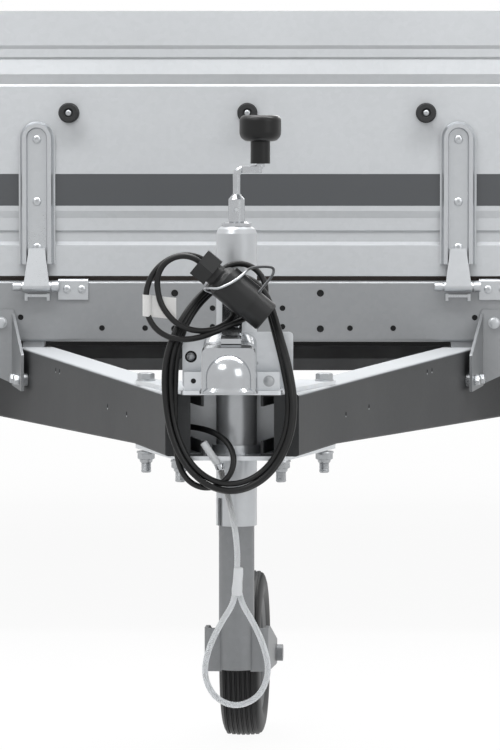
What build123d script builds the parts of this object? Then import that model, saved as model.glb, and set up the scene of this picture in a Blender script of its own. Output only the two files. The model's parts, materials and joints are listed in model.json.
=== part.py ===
from build123d import *
import math
import os

# Single-axle box trailer with a folding front board, parked on its jockey wheel.
# Millimetres.  X is the width, +Y runs to the rear, +Z is up.  Lengths along the
# trailer are first given behind the ball centre and then shifted by BALL_Y.

os.makedirs("parts", exist_ok=True)

# ---------------------------------------------------------------- driving sizes
BOX_LENGTH = 2400.0        # beam face to beam face
BOX_WIDTH = 1300.0         # over the side boards
DRAWBAR = 1100.0           # ball centre to the front beam's face
BOARD_HEIGHT = 370.0       # folding board
BOARD_THICK = 20.0
FRAME_TOP = 519.0          # top of the frame beams above the ground
BEAM_HEIGHT = 85.0
BEAM_DEPTH = 40.0          # flange of the frame beams
BEAM_WALL = 3.0
BEND = 4.0                 # outer radius of folded sheet
FLOOR_THICK = 9.0
ARM_TOP = 426.0            # top of the drawbar arms
ARM_START = 62.0           # front end of the arms
ARM_FRONT_X = 78.0         # outer side of an arm at its front end
ARM_SLOPE = 0.2317         # sideways per length
ARM_FLANGE = 46.0
ARM_WALL = 3.0
ARM_DEPTH = 73.0           # height of an arm at the coupling
ARM_DEPTH_MID = 112.0      # and under the box
PLATE = 5.0                # drawbar plates
COUPLING_X = -2.5
COUPLING_R = 31.0          # outside of the ball housing
BALL_Z = 450.0
BALL_FIT = 25.2            # socket for the 50 mm ball
TYRE_RADIUS = 273.5
TYRE_WIDTH = 155.0
JOCKEY_X = 4.0             # jockey tube from the middle plane
JOCKEY_BACK = 127.0        # jockey tube behind the ball centre
JOCKEY_RADIUS = 24.0
JOCKEY_WALL = 2.5
TUBE_TOP = 620.0
TUBE_LENGTH = 353.0
LEG_RADIUS = 21.0
CASTER_TRAIL = 128.0       # jockey wheel's axle behind its tube
CASTER_TURN = -3.5         # how the parked jockey wheel stands
JOCKEY_WHEEL_RADIUS = 100.0
JOCKEY_WHEEL_WIDTH = 53.0
PIN_OUT = 14.0             # hinge pin in front of the beam's face
PIN_DOWN = 7.0             # hinge pin below the frame's top
HINGE_X = 294.5            # strap hinges from the middle plane
KNOB_UP = 235.0            # tarpaulin knobs above the frame's top
KNOB_X = 249.0
KNOB_LENGTH = 29.0
AXLE_FLATS = 40.0          # hexagonal axle beam
AXLE_DROP = 76.0           # hub below the axle beam
SWING = 145.0              # hub behind the axle beam
STUB_R = 15.0
SLIP = 0.3                 # clearance of fitted pieces

# ---------------------------------------------------------------- tied sizes
REAR_OVER = KNOB_LENGTH - 3.0
BALL_Y = -(DRAWBAR + BOX_LENGTH + REAR_OVER - COUPLING_R) / 2
FRONT = DRAWBAR
REAR = DRAWBAR + BOX_LENGTH
MID = (FRONT + REAR) / 2
HALF_W = BOX_WIDTH / 2
BEAM_BOTTOM = FRAME_TOP - BEAM_HEIGHT
BOARD_BOTTOM = FRAME_TOP + 7.0
BOARD_TOP = BOARD_BOTTOM + BOARD_HEIGHT
BOARD_HALF = HALF_W - 38.0
PIN_Z = FRAME_TOP - PIN_DOWN
PIN_Y = FRONT - PIN_OUT
HUB_BACK = MID + 75.0
AXLE_BACK = HUB_BACK - SWING
AXLE_Z = TYRE_RADIUS + AXLE_DROP
TYRE_IN = HALF_W + 32.0
ARM_BOTTOM = ARM_TOP - ARM_DEPTH
DECK_Z = ARM_TOP + PLATE
TUBE_BOTTOM = TUBE_TOP - TUBE_LENGTH
JX = JOCKEY_X
JY = JOCKEY_BACK


# ---------------------------------------------------------------- helpers
def block(x0, x1, y0, y1, z0, z1):
    """Box between two corners, y behind the ball centre."""
    centre = Pos((x0 + x1) / 2, BALL_Y + (y0 + y1) / 2, (z0 + z1) / 2)
    return centre * Box(abs(x1 - x0), abs(y1 - y0), abs(z1 - z0))


def rod_x(radius, x0, x1, y, z):
    centre = Pos((x0 + x1) / 2, BALL_Y + y, z)
    return centre * Rot(0, 90, 0) * Cylinder(radius, abs(x1 - x0))


def rod_y(radius, y0, y1, x, z):
    centre = Pos(x, BALL_Y + (y0 + y1) / 2, z)
    return centre * Rot(90, 0, 0) * Cylinder(radius, abs(y1 - y0))


def rod_z(radius, z0, z1, x, y):
    return Pos(x, BALL_Y + y, (z0 + z1) / 2) * Cylinder(radius, abs(z1 - z0))


def outline(points, radius=0.0):
    """Face with straight sides; every corner is rounded by the radius."""
    face = make_face(Polyline(*points, close=True))
    return fillet(face.vertices(), radius) if radius else face


def folded(points, wall, bend=BEND):
    """Section of folded sheet, lying to the right of its outer line."""
    return make_face(offset(FilletPolyline(*points, radius=bend), amount=wall, side=Side.RIGHT))


def draw_x(face, x0, x1):
    """Face in (y, z) drawn out from x0 to x1."""
    plane = Plane(origin=(x0, BALL_Y, 0), x_dir=(0, 1, 0), z_dir=(1, 0, 0))
    return extrude(plane * face, x1 - x0)


def draw_y(face, y0, y1):
    """Face in (x, z) drawn out from y0 to y1."""
    plane = Plane(origin=(0, BALL_Y + y1, 0), x_dir=(1, 0, 0), z_dir=(0, -1, 0))
    return extrude(plane * face, y1 - y0)


def draw_z(face, z0, z1):
    """Face in (x, y) drawn out from z0 to z1."""
    plane = Plane(origin=(0, BALL_Y, z0), x_dir=(1, 0, 0), z_dir=(0, 0, 1))
    return extrude(plane * face, z1 - z0)


def turned_x(face, x0, y, z, arc=360.0):
    """Solid turned about an axis along X; the face is (radius, from x0 outwards)."""
    plane = Plane(origin=(x0, BALL_Y + y, z), x_dir=(0, 0, 1), z_dir=(0, 1, 0))
    return revolve(plane * face, Axis((x0, BALL_Y + y, z), (1, 0, 0)), arc)


def turned_z(face, x, y):
    """Solid turned about an upright axis; the face is (radius, height)."""
    plane = Plane(origin=(x, BALL_Y + y, 0), x_dir=(1, 0, 0), z_dir=(0, -1, 0))
    return revolve(plane * face, Axis((x, BALL_Y + y, 0), (0, 0, 1)))


def both(shape):
    """The shape and its mirror image across the middle plane."""
    return [shape, mirror(shape, about=Plane.YZ)]


def rear_of(shape):
    """The same shape turned end for end about the box's middle."""
    y = BALL_Y + MID
    return Pos(0, y, 0) * Rot(0, 0, 180) * Pos(0, -y, 0) * shape


def at_point(x, y, z):
    return Vector(x, BALL_Y + y, z)


def save(name, shapes):
    """Write one node: a single solid or a list of solids kept apart."""
    if not isinstance(shapes, list):
        shapes = [shapes]
    solids = []
    for shape in shapes:
        solids.extend(shape.solids())
    result = solids[0] if len(solids) == 1 else Compound(children=solids)
    export_step(result, "parts/" + name + ".step")
    box = result.bounding_box()
    print(name, len(solids), round(sum(s.volume for s in solids) / 1000.0, 1), "cm3",
          [round(v) for v in box.min], [round(v) for v in box.max])


def tube_along(name, points, radii, radius):
    """Round tube along filleted straight runs; prints its section test."""
    path = FilletPolyline(*[at_point(*p) for p in points], radius=radii)
    plane = Plane(origin=path @ 0, z_dir=path % 0)
    body = sweep(plane * Circle(radius), path=path)
    share = body.volume / (math.pi * radius ** 2 * path.length)
    print(name, "length", round(path.length), "radii", [round(r, 1) for r in radii],
          "volume share", round(share, 3))
    return body


def corner_radii(points):
    """Largest tidy fillet at every inner point of a line."""
    radii = []
    for n in range(1, len(points) - 1):
        a = at_point(*points[n - 1])
        b = at_point(*points[n])
        c = at_point(*points[n + 1])
        u = (b - a).normalized()
        v = (c - b).normalized()
        turn = math.acos(max(-1.0, min(1.0, u.dot(v))))
        run = min((b - a).length, (c - b).length)
        radii.append(0.45 * run / math.tan(turn / 2))
    return radii


# ---------------------------------------------------------------- frame
# distance from the middle, height below the frame's top, radius
BEAM_HOLES = [
    (318.0, 51.0, 4.0),
    (204.0, 66.0, 4.0),
    (143.5, 66.0, 4.0),
    (102.0, 17.0, 5.0),
    (102.0, 67.0, 5.0),
    (49.0, 38.0, 4.0),
    (49.0, 64.0, 4.0),
]
BEAM_SECTION = [
    (BEAM_DEPTH, BEAM_BOTTOM), (0, BEAM_BOTTOM), (0, FRAME_TOP), (BEAM_DEPTH, FRAME_TOP),
]
beam = Pos(0, FRONT, 0) * draw_x(folded(BEAM_SECTION, BEAM_WALL), -HALF_W, HALF_W)
beam_front = beam
for hole_x, hole_down, hole_r in BEAM_HOLES:
    for side in (-1, 1):
        beam_front -= rod_y(hole_r, FRONT - 1, FRONT + BEAM_WALL + 1, side * hole_x,
                            FRAME_TOP - hole_down)
save("frame_beams", [beam_front, rear_of(beam)])

RAIL_SECTION = [
    (HALF_W - BEAM_DEPTH, FRAME_TOP), (HALF_W, FRAME_TOP), (HALF_W, BEAM_BOTTOM),
    (HALF_W - BEAM_DEPTH, BEAM_BOTTOM),
]
rail = draw_y(folded(RAIL_SECTION, BEAM_WALL), FRONT + BEAM_DEPTH, REAR - BEAM_DEPTH)
save("side_rails", both(rail))

CROSS_AT = [0.27, 0.5, 0.76]   # shares of the box length
CROSS_DEPTH = 40.0
cross = []
for share in CROSS_AT:
    y = FRONT + share * BOX_LENGTH - CROSS_DEPTH / 2
    low = BEAM_BOTTOM + BEAM_WALL
    high = FRAME_TOP - BEAM_WALL
    section = [(y + CROSS_DEPTH, low), (y, low), (y, high), (y + CROSS_DEPTH, high)]
    cross.append(draw_x(folded(section, BEAM_WALL), BEND - HALF_W, HALF_W - BEND))
save("cross_members", cross)

FLOOR_IN = BOARD_THICK + 2.0
floor = block(-HALF_W + FLOOR_IN, HALF_W - FLOOR_IN, FRONT + FLOOR_IN + 2, REAR - FLOOR_IN - 2,
              FRAME_TOP, FRAME_TOP + FLOOR_THICK)
save("floor", floor)

# ---------------------------------------------------------------- drawbar
ARM_END = MID - 120.0
ARM_ANGLE = math.degrees(math.atan(ARM_SLOPE))
ARM_RUN = (ARM_END - ARM_START) / math.cos(math.radians(ARM_ANGLE))
ARM_DEPTH_END = 60.0
ARM_LIP_TOP = 15.0
ARM_LIP_LOW = 18.0
ARM_LEVEL = 208.0              # run over which its lower side is level
ARM_DEEPEST = (0.60, 0.70)     # shares of the arm between which it is deepest
ARM_FOLD = 30.0                # front flange that closes the web's end
# behind the ball centre, height above the arm's lower front corner
ARM_HOLES = [(304.0, 33.0), (431.0, 34.0), (780.0, 57.5), (810.0, 57.5)]
ARM_HOLE_R = 3.5


def arm_x(y):
    """Outer side of the drawbar arm."""
    return ARM_FRONT_X + ARM_SLOPE * (y - ARM_START)


def arm_outline(top, low, over):
    """Side of the straight arm, drawn in at the top and below, longer at both ends."""
    low_mid = ARM_TOP - ARM_DEPTH_MID + low
    return outline([
        (-over, ARM_TOP - top), (ARM_RUN + over, ARM_TOP - top),
        (ARM_RUN + over, ARM_TOP - ARM_DEPTH_END + low), (ARM_DEEPEST[1] * ARM_RUN, low_mid),
        (ARM_DEEPEST[0] * ARM_RUN, low_mid), (ARM_LEVEL, ARM_BOTTOM + low),
        (-over, ARM_BOTTOM + low),
    ])


def drawbar_arm():
    """Lipped C section open towards the middle, drawn straight and then turned out."""
    plane = Plane(origin=(0, 0, 0), x_dir=(0, 1, 0), z_dir=(1, 0, 0))
    body = extrude(plane * arm_outline(0, 0, 0), -ARM_FLANGE)
    long_edges = [e for e in body.edges() if abs(e.center().X) < 0.01 and e.length > 150]
    body = fillet(long_edges, BEND)
    inside = extrude(plane * arm_outline(ARM_WALL, ARM_WALL, 2), 2 * ARM_WALL - ARM_FLANGE)
    mouth = extrude(plane * arm_outline(ARM_LIP_TOP, ARM_LIP_LOW, 2), -ARM_FLANGE)
    body = body - Pos(-ARM_WALL, 0, 0) * inside - Pos(-ARM_FLANGE / 2, 0, 0) * mouth
    fold = Pos(-ARM_FOLD / 2, ARM_WALL / 2, ARM_TOP - ARM_DEPTH / 2) * Box(
        ARM_FOLD, ARM_WALL, ARM_DEPTH - ARM_WALL)
    placed = Pos(ARM_FRONT_X, BALL_Y + ARM_START, 0) * Rot(0, 0, -ARM_ANGLE) * (body + fold)
    for hole_y, up in ARM_HOLES:
        x = arm_x(hole_y)
        placed -= rod_x(ARM_HOLE_R, x - 3 * ARM_WALL, x + 3 * ARM_WALL, hole_y, ARM_BOTTOM + up)
    return placed


arm = drawbar_arm()
save("drawbar_arms", both(arm))

PLATE_FRONT = 46.0
PLATE_REAR = 264.0
PLATE_HALF = 58.0
PLATE_NOTCH = 60.0
LOWER_FRONT = ARM_START + 4.0
CROSS_HALF = 60.0          # wall that closes the head behind the jockey tube
CROSS_BACK = PLATE_REAR - PLATE_NOTCH
CROSS_WALL = 4.0
UPSTAND = 21.0             # upturned front of the upper plate beside the coupling


def plate_outline(front):
    """Plate between the arms, notched at its rear; x and y of its corners."""
    wide = arm_x(PLATE_REAR) - 2
    front_half = PLATE_HALF + (wide - PLATE_HALF) * (front - PLATE_FRONT) / (PLATE_REAR - PLATE_FRONT)
    return outline([
        (-front_half, front), (front_half, front), (wide, PLATE_REAR),
        (wide - 46, PLATE_REAR), (45, PLATE_REAR - PLATE_NOTCH),
        (-45, PLATE_REAR - PLATE_NOTCH), (46 - wide, PLATE_REAR), (-wide, PLATE_REAR),
    ], 5.0)


tube_hole = rod_z(JOCKEY_RADIUS + SLIP, ARM_BOTTOM - 20, DECK_Z + 20, JX, JY)
plate_top = draw_z(plate_outline(PLATE_FRONT), ARM_TOP, DECK_Z) - tube_hole
for x0, x1 in ((-PLATE_HALF + 2, COUPLING_X - COUPLING_R - 1),
               (COUPLING_X + COUPLING_R + 1, PLATE_HALF - 2)):
    strip = block(x0, x1, ARM_START - 2, ARM_START + 2, DECK_Z, DECK_Z + UPSTAND)
    plate_top += strip - rod_y(3.2, ARM_START - 4, ARM_START + 4, (x0 + x1) / 2,
                               DECK_Z + UPSTAND / 2)
plate_bottom = draw_z(plate_outline(LOWER_FRONT), ARM_BOTTOM - PLATE, ARM_BOTTOM) - tube_hole
cross_wall = block(-CROSS_HALF, CROSS_HALF, CROSS_BACK - CROSS_WALL, CROSS_BACK, ARM_BOTTOM, ARM_TOP)
save("drawbar_plates", [plate_top, plate_bottom, cross_wall])

# brackets that carry the arms on the front beam
BRACKET_WALL = 4.0
BRACKET_REACH = 82.0
BRACKET_WIDE = 46.0
SPACER = 8.0               # between an arm and its bracket
SPACER_R = 8.0
# behind the beam's face, height above the arm's top
SPACERS = [(-28.0, -42.0), (-62.0, -42.0)]


def frame_bracket():
    """Folded angle with a slanted side flange, spacers towards the arm."""
    x0 = arm_x(FRONT) + SPACER / math.cos(math.radians(ARM_ANGLE))
    plate = outline([
        (x0, FRAME_TOP - 40), (x0 + BRACKET_WIDE, FRAME_TOP - 40),
        (x0 + BRACKET_WIDE, ARM_TOP - 31), (x0, ARM_TOP - 52),
    ], 3.0)
    body = draw_y(plate, FRONT - BRACKET_WALL, FRONT)
    flange = outline([
        (0, FRAME_TOP - 43), (0, ARM_TOP - 53), (-BRACKET_REACH, ARM_TOP - 57),
        (-BRACKET_REACH, ARM_TOP - 6),
    ], 3.0)
    plane = Plane(origin=(0, 0, 0), x_dir=(0, 1, 0), z_dir=(1, 0, 0))
    wing = extrude(plane * flange, BRACKET_WALL)
    for back, up in SPACERS:
        wing += Pos(-SPACER / 2, back, ARM_TOP + up) * Rot(0, 90, 0) * Cylinder(SPACER_R, SPACER)
    return body + Pos(x0, BALL_Y + FRONT, 0) * Rot(0, 0, -ARM_ANGLE) * wing


packing = []
for share, lift in ((0.0, 0.0), (CROSS_AT[0], BEAM_WALL)):
    y = FRONT + share * BOX_LENGTH + (BEAM_DEPTH / 2 if share == 0.0 else 0)
    x = arm_x(y)
    packing += both(block(x - 38, x - 8, y - 16, y + 16, ARM_TOP, BEAM_BOTTOM + lift))
save("frame_brackets", both(frame_bracket()) + packing)

# ---------------------------------------------------------------- coupling
# behind the ball centre, top of the housing, radius of its upper corners
HOOD = [(-17.0, 484.0, 8.0), (-8.0, 487.0, 8.0), (42.0, 488.0, 9.0), (60.0, 496.0, 14.0),
        (96.0, 496.0, 14.0)]
CLAMP_FRONT = HOOD[-1][0]


def hood_section(y, top, radius):
    """Upright section of the pressed housing with rounded upper corners."""
    plane = Plane(origin=(COUPLING_X, BALL_Y + y, 0), x_dir=(1, 0, 0), z_dir=(0, -1, 0))
    low = DECK_Z
    face = outline([(-COUPLING_R, low), (COUPLING_R, low), (COUPLING_R, top), (-COUPLING_R, top)])
    corners = face.vertices().sort_by(Axis.Y)[-2:]
    return plane * fillet(corners, radius)


housing = loft([hood_section(*row) for row in HOOD], ruled=True)
dome = outline([
    (0, DECK_Z), (COUPLING_R + 3, DECK_Z), (COUPLING_R + 3, DECK_Z + 3), (COUPLING_R, DECK_Z + 7),
    (COUPLING_R, BALL_Z), (0, BALL_Z),
])
coupling = housing + turned_z(dome, COUPLING_X, 0)
coupling += Pos(COUPLING_X, BALL_Y, BALL_Z) * Sphere(COUPLING_R)
coupling -= block(COUPLING_X - 40, COUPLING_X + 40, -40, 40, DECK_Z - 40, DECK_Z)
coupling -= Pos(COUPLING_X, BALL_Y, BALL_Z) * Sphere(BALL_FIT)
coupling -= rod_z(BALL_FIT, DECK_Z - 5, BALL_Z, COUPLING_X, 0)
save("coupling_head", coupling)

LEVER_HALF = 11.7
LEVER_TOP = 552.0
HOOD_TOP = HOOD[1][1] + 1.2
LEVER_SIDE = [
    (-4, HOOD_TOP), (38, HOOD_TOP), (60, 498.5), (72, 502), (97, LEVER_TOP - 10), (97, LEVER_TOP),
    (84, LEVER_TOP), (60, 506), (34, 496), (-4, 494),
]
LEVER_POCKET = [
    (40, 502), (59, 509), (80, LEVER_TOP - 6), (92, LEVER_TOP - 6), (68, 506), (50, 500),
]
lever = draw_x(outline(LEVER_SIDE), -LEVER_HALF, LEVER_HALF)
upper = [e for e in lever.edges() if abs(e.center().X) > LEVER_HALF - 0.1
         and e.center().Z > LEVER_TOP - 0.5]
lever = fillet(upper, 6.0)
lever -= draw_x(outline([(p[0] - 6, p[1] + 2) for p in LEVER_POCKET]), -LEVER_HALF + 3,
                LEVER_HALF - 3)
save("coupling_lever", lever)

CLAMP_BACK = CLAMP_FRONT + 4.0
CLAMP_TOP = DECK_Z + 66.0
clamp = draw_y(outline([(-59, DECK_Z), (71, DECK_Z), (71, CLAMP_TOP), (-59, CLAMP_TOP)], 5.0),
               CLAMP_FRONT, CLAMP_BACK)
clamp -= rod_y(4.0, CLAMP_FRONT - 1, CLAMP_BACK + 1, 36, DECK_Z + 15)
clamp += rod_z(JOCKEY_RADIUS + 7, DECK_Z + 10, CLAMP_TOP - 6, JX, JY)
clamp -= rod_z(JOCKEY_RADIUS + SLIP, DECK_Z - 5, CLAMP_TOP + 5, JX, JY)
collar = rod_z(JOCKEY_RADIUS + 5, ARM_BOTTOM, ARM_BOTTOM + 10, JX, JY)
collar -= rod_z(JOCKEY_RADIUS + SLIP, ARM_BOTTOM - 1, ARM_BOTTOM + 11, JX, JY)
save("jockey_clamp", [clamp, collar])

# ---------------------------------------------------------------- boards
# height above the lower edge, set-back of the outer face
BOARD_FACE = [
    (0, 5), (43, 5), (48, 11), (61, 11), (64, 8), (81, 8), (91, 5), (265, 5), (268, 7),
    (282, 2), (303, 6), (306, 3), (317, 3), (322, 0), (370, 0),
]
BOARD_BACK = [
    (370, 0), (322, 0), (317, 3), (306, 3), (303, 5), (91, 5), (64, 6), (43, 3), (0, 3),
]
BOARD_DRAWN = 370.0        # height for which the two tables are drawn
BOARD_OUT = 2.0            # board's outermost face in front of the beam's face
FIELD_BACK = 5.0           # set-back of the plain field
FIELD = FRONT - BOARD_OUT + FIELD_BACK


def board_section(face, low, high, sign):
    """Ribbed section; face is its outermost side and sign the way to the inside."""
    scale = (high - low) / BOARD_DRAWN
    points = [(face + sign * d, low + h * scale) for h, d in BOARD_FACE]
    points += [(face + sign * (BOARD_THICK - d), low + h * scale) for h, d in BOARD_BACK]
    return outline(points)


board = draw_x(board_section(FRONT - BOARD_OUT, BOARD_BOTTOM, BOARD_TOP, 1),
               -BOARD_HALF, BOARD_HALF)
save("front_board", board)
save("tailgate", rear_of(board))
side_board = draw_y(board_section(HALF_W, FRAME_TOP, BOARD_TOP, -1), FRONT + 24, REAR - 24)
save("side_boards", both(side_board))

POST_OUT = 3.0
post = block(HALF_W - 32, HALF_W + POST_OUT, FRONT - BOARD_OUT, FRONT + 24, FRAME_TOP, BOARD_TOP)
upright = [e for e in post.edges().filter_by(Axis.Z)
           if e.center().Y < BALL_Y + FRONT and e.center().X > HALF_W]
post = fillet(upright, 6.0)
posts = both(post)
posts += [rear_of(p) for p in both(post)]
save("corner_posts", posts)

# strap hinges of the two folding boards
STRAP_HALF = 25.5
STRAP_THICK = 12.0
STRAP_TOP = PIN_Z + 232.0
STRAP_FOOT = PIN_Z + 31.0
EYE_R = 7.5
PIN_R = 4.0
TONGUE_TOP = STRAP_FOOT + 22.0


def stadium(half, low, high, face, depth, x, draft=0.0):
    """Round-ended pad at x, growing forward from the plane at face."""
    plane = Plane(origin=(x, BALL_Y + face, (low + high) / 2), x_dir=(0, 0, 1), z_dir=(0, -1, 0))
    pad = plane * SlotOverall(high - low, 2 * half)
    return extrude(pad, depth, taper=draft)


def strap(x):
    """Pressed strap with a raised rim, sunk channel, slanting tongue and rolled eye."""
    body = stadium(STRAP_HALF, STRAP_FOOT - STRAP_HALF, STRAP_TOP, FIELD, 3.0, x)
    body += stadium(STRAP_HALF - 2, STRAP_FOOT - STRAP_HALF, STRAP_TOP - 2, FIELD - 3,
                    STRAP_THICK - 3, x, 20.0)
    body -= stadium(13.0, STRAP_FOOT - 40, STRAP_TOP - 12, FIELD - 4, STRAP_THICK, x, -12.0)
    body -= block(x - 30, x + 30, FIELD - 20, FIELD + 1, STRAP_FOOT - 60, STRAP_FOOT)
    tongue = draw_x(outline([
        (FIELD - STRAP_THICK, TONGUE_TOP), (PIN_Y - EYE_R, PIN_Z + 1),
        (PIN_Y - EYE_R + 4, PIN_Z - 1), (FIELD - 4, TONGUE_TOP - 6), (FIELD - 4, TONGUE_TOP),
    ]), x - 21, x + 21)
    tongue &= draw_y(outline([
        (x - 11, TONGUE_TOP + 1), (x - 19.5, PIN_Z - 9), (x + 19.5, PIN_Z - 9),
        (x + 11, TONGUE_TOP + 1),
    ]), PIN_Y - 20, FIELD)
    body += tongue
    body += rod_x(EYE_R, x - 19.5, x + 19.5, PIN_Y, PIN_Z)
    body -= rod_x(PIN_R + 0.6, x - 21, x + 21, PIN_Y, PIN_Z)
    return body


LEAF_X = (29.5, 71.5)      # beam leaf beside its strap
LEAF_LOW = 26.0            # its lower edge below the frame's top
LEAF_WALL = 3.0
KNUCKLE_X = (21.5, 31.0)


def leaf(x):
    """Beam leaf folded over the beam's top, its knuckle and pin, the stop under the eye."""
    x0, x1 = x + LEAF_X[0], x + LEAF_X[1]
    plate = [(FRONT + 16, FRAME_TOP + LEAF_WALL), (FRONT - LEAF_WALL, FRAME_TOP + LEAF_WALL),
             (FRONT - LEAF_WALL, FRAME_TOP - LEAF_LOW)]
    sheet = make_face(offset(FilletPolyline(*plate, radius=BEND), amount=LEAF_WALL,
                             side=Side.LEFT))
    body = draw_x(sheet, x0, x1)
    k0, k1 = x + KNUCKLE_X[0], x + KNUCKLE_X[1]
    body += rod_x(EYE_R, k0, k1, PIN_Y, PIN_Z)
    body += block(k0, k1, PIN_Y, FRONT - LEAF_WALL, PIN_Z - 4, PIN_Z + 4)
    body += block(k0 + 4, x0 + 1, FRONT - 2 * LEAF_WALL, FRONT, PIN_Z - 8, PIN_Z + EYE_R)
    body += rod_x(PIN_R, x - 33, k0 + 1, PIN_Y, PIN_Z)
    body += rod_x(6.0, x - 33, x - 22, PIN_Y, PIN_Z)
    return body


STOP_HALF = 15.5
STOP_OUT = 4.0             # leaves the folded-down strap room


def eye_stop(x):
    """Pressed stop on the beam under the strap's eye."""
    low = PIN_Z - EYE_R - 4
    stop = block(x - STOP_HALF, x + STOP_HALF, FRONT - STOP_OUT, FRONT, low - 4, low)
    for side in (-1, 1):
        end = x + side * STOP_HALF
        stop += block(end - 2, end + 2, FRONT - STOP_OUT, FRONT, low - 9, low + 1)
    return stop


front_straps = [strap(-HINGE_X), strap(HINGE_X)]
leaves = []
for x in (-HINGE_X, HINGE_X):
    leaves += [leaf(x), eye_stop(x)]
save("front_straps", front_straps)
save("tailgate_straps", [rear_of(s) for s in front_straps])
save("hinge_leaves", leaves + [rear_of(s) for s in leaves])

KNOB_Z = FRAME_TOP + KNOB_UP
KNOB_R = 14.0
# radius, distance from the board's face
KNOB_SECTION = [
    (0, 0), (KNOB_R, 0), (KNOB_R, 2.5), (8, 5), (8, 18), (KNOB_R - 1, 20.5), (KNOB_R, 22.5),
    (KNOB_R, 26), (KNOB_R - 2, KNOB_LENGTH), (7, KNOB_LENGTH), (5, KNOB_LENGTH - 3),
    (0, KNOB_LENGTH - 3),
]


def tarp_knob():
    """Rubber button on its neck, pointing along -Y from the origin."""
    return Rot(90, 0, 0) * revolve(Plane.XZ * outline(KNOB_SECTION), Axis.Z)


front_knobs = []
for knob_x in (-KNOB_X, 0, KNOB_X):
    front_knobs.append(Pos(knob_x, BALL_Y + FIELD, KNOB_Z) * tarp_knob())
save("front_knobs", front_knobs)
save("tailgate_knobs", [rear_of(k) for k in front_knobs])
side_knobs = []
SIDE_KNOB_AT = [0.12, 0.37, 0.63, 0.88]
for share in SIDE_KNOB_AT:
    y = FRONT + share * BOX_LENGTH
    side_knobs += both(Pos(HALF_W - FIELD_BACK, BALL_Y + y, KNOB_Z) * Rot(0, 0, 90) * tarp_knob())
save("side_knobs", side_knobs)


def corner_latch():
    """Drop lever on the board's end, nose lying before the corner post."""
    x = BOARD_HALF
    rim = FRONT - BOARD_OUT
    top = BOARD_TOP
    body = draw_y(outline([(x - 46, top - 48), (x - 6, top - 48), (x - 6, top - 18),
                           (x - 46, top - 18)], 4.0), rim - 6, rim)
    body += draw_y(outline([(x - 24, top - 42), (x + 26, top - 42), (x + 26, top - 24),
                            (x - 24, top - 24)], 4.0), rim - 11, rim - 6)
    body += rod_y(11, rim - 16, rim - 6, x - 29, top - 33)
    body += draw_y(outline([(x - 37, top - 108), (x - 21, top - 108), (x - 18, top - 33),
                            (x - 40, top - 33)], 3.0), rim - 19, rim - 14)
    return body


front_latches = both(corner_latch())
save("front_latches", front_latches)
save("tailgate_latches", [rear_of(s) for s in front_latches])

# ---------------------------------------------------------------- axle and wheels
AXLE_END = HALF_W + 4.0
AXLE_BORE = AXLE_FLATS / 2 - 4.0
hexagon = Rot(0, 0, 30) * RegularPolygon(AXLE_FLATS / math.sqrt(3), 6)
axle_plane = Plane(origin=(-AXLE_END, BALL_Y + AXLE_BACK, AXLE_Z), x_dir=(0, 0, 1),
                   z_dir=(1, 0, 0))
axle = extrude(axle_plane * hexagon, 2 * AXLE_END)
hex_hole = axle
axle -= rod_x(AXLE_BORE, -AXLE_END - 1, AXLE_END + 1, AXLE_BACK, AXLE_Z)
save("axle_beam", axle)

HANGER_WALL = 5.0
hanger_side = outline([
    (AXLE_BACK - 75, BEAM_BOTTOM), (AXLE_BACK - 42, AXLE_Z - 28), (AXLE_BACK + 42, AXLE_Z - 28),
    (AXLE_BACK + 75, BEAM_BOTTOM),
])
hanger = draw_x(hanger_side, HALF_W - BEAM_DEPTH, HALF_W)
hanger -= block(HALF_W - BEAM_DEPTH - 1, HALF_W - HANGER_WALL, AXLE_BACK - 90, AXLE_BACK + 90,
                AXLE_Z + AXLE_FLATS / 2 + HANGER_WALL, BEAM_BOTTOM - HANGER_WALL)
hanger -= hex_hole
save("axle_brackets", both(hanger))

ARM_PLATE_IN = HALF_W + 6.0
ARM_PLATE = 16.0
swing_side = outline([
    (AXLE_BACK - 10, AXLE_Z - 29), (AXLE_BACK + 12, AXLE_Z + 28), (HUB_BACK + 10, TYRE_RADIUS + 26),
    (HUB_BACK - 10, TYRE_RADIUS - 26),
])
swing = draw_x(swing_side, ARM_PLATE_IN, ARM_PLATE_IN + ARM_PLATE)
swing += rod_x(31, ARM_PLATE_IN, ARM_PLATE_IN + ARM_PLATE, AXLE_BACK, AXLE_Z)
swing += rod_x(28, ARM_PLATE_IN, ARM_PLATE_IN + ARM_PLATE, HUB_BACK, TYRE_RADIUS)
swing += rod_x(AXLE_BORE - 0.5, HALF_W - 60, ARM_PLATE_IN, AXLE_BACK, AXLE_Z)
swing += rod_x(STUB_R, ARM_PLATE_IN, TYRE_IN + 88, HUB_BACK, TYRE_RADIUS)
save("axle_arms", both(swing))

BEAD_R = 168.0             # tyre seat
BEAD_IN = 20.0             # tyre's narrowest from its own edge
SHOULDER = 24.0
wall_in = ThreePointArc((BEAD_R + 12, BEAD_IN), (BEAD_R + 50, 0), (TYRE_RADIUS - 14, 8))
crown_in = ThreePointArc((TYRE_RADIUS - 14, 8), (TYRE_RADIUS - 4, 13), (TYRE_RADIUS, SHOULDER))
crown = Line((TYRE_RADIUS, SHOULDER), (TYRE_RADIUS, TYRE_WIDTH - SHOULDER))
crown_out = ThreePointArc((TYRE_RADIUS, TYRE_WIDTH - SHOULDER),
                          (TYRE_RADIUS - 4, TYRE_WIDTH - 13), (TYRE_RADIUS - 14, TYRE_WIDTH - 8))
wall_out = ThreePointArc((TYRE_RADIUS - 14, TYRE_WIDTH - 8), (BEAD_R + 50, TYRE_WIDTH),
                         (BEAD_R + 12, TYRE_WIDTH - BEAD_IN))
seat = Polyline((BEAD_R + 12, TYRE_WIDTH - BEAD_IN), (BEAD_R, TYRE_WIDTH - BEAD_IN),
                (BEAD_R, BEAD_IN), (BEAD_R + 12, BEAD_IN))
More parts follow.
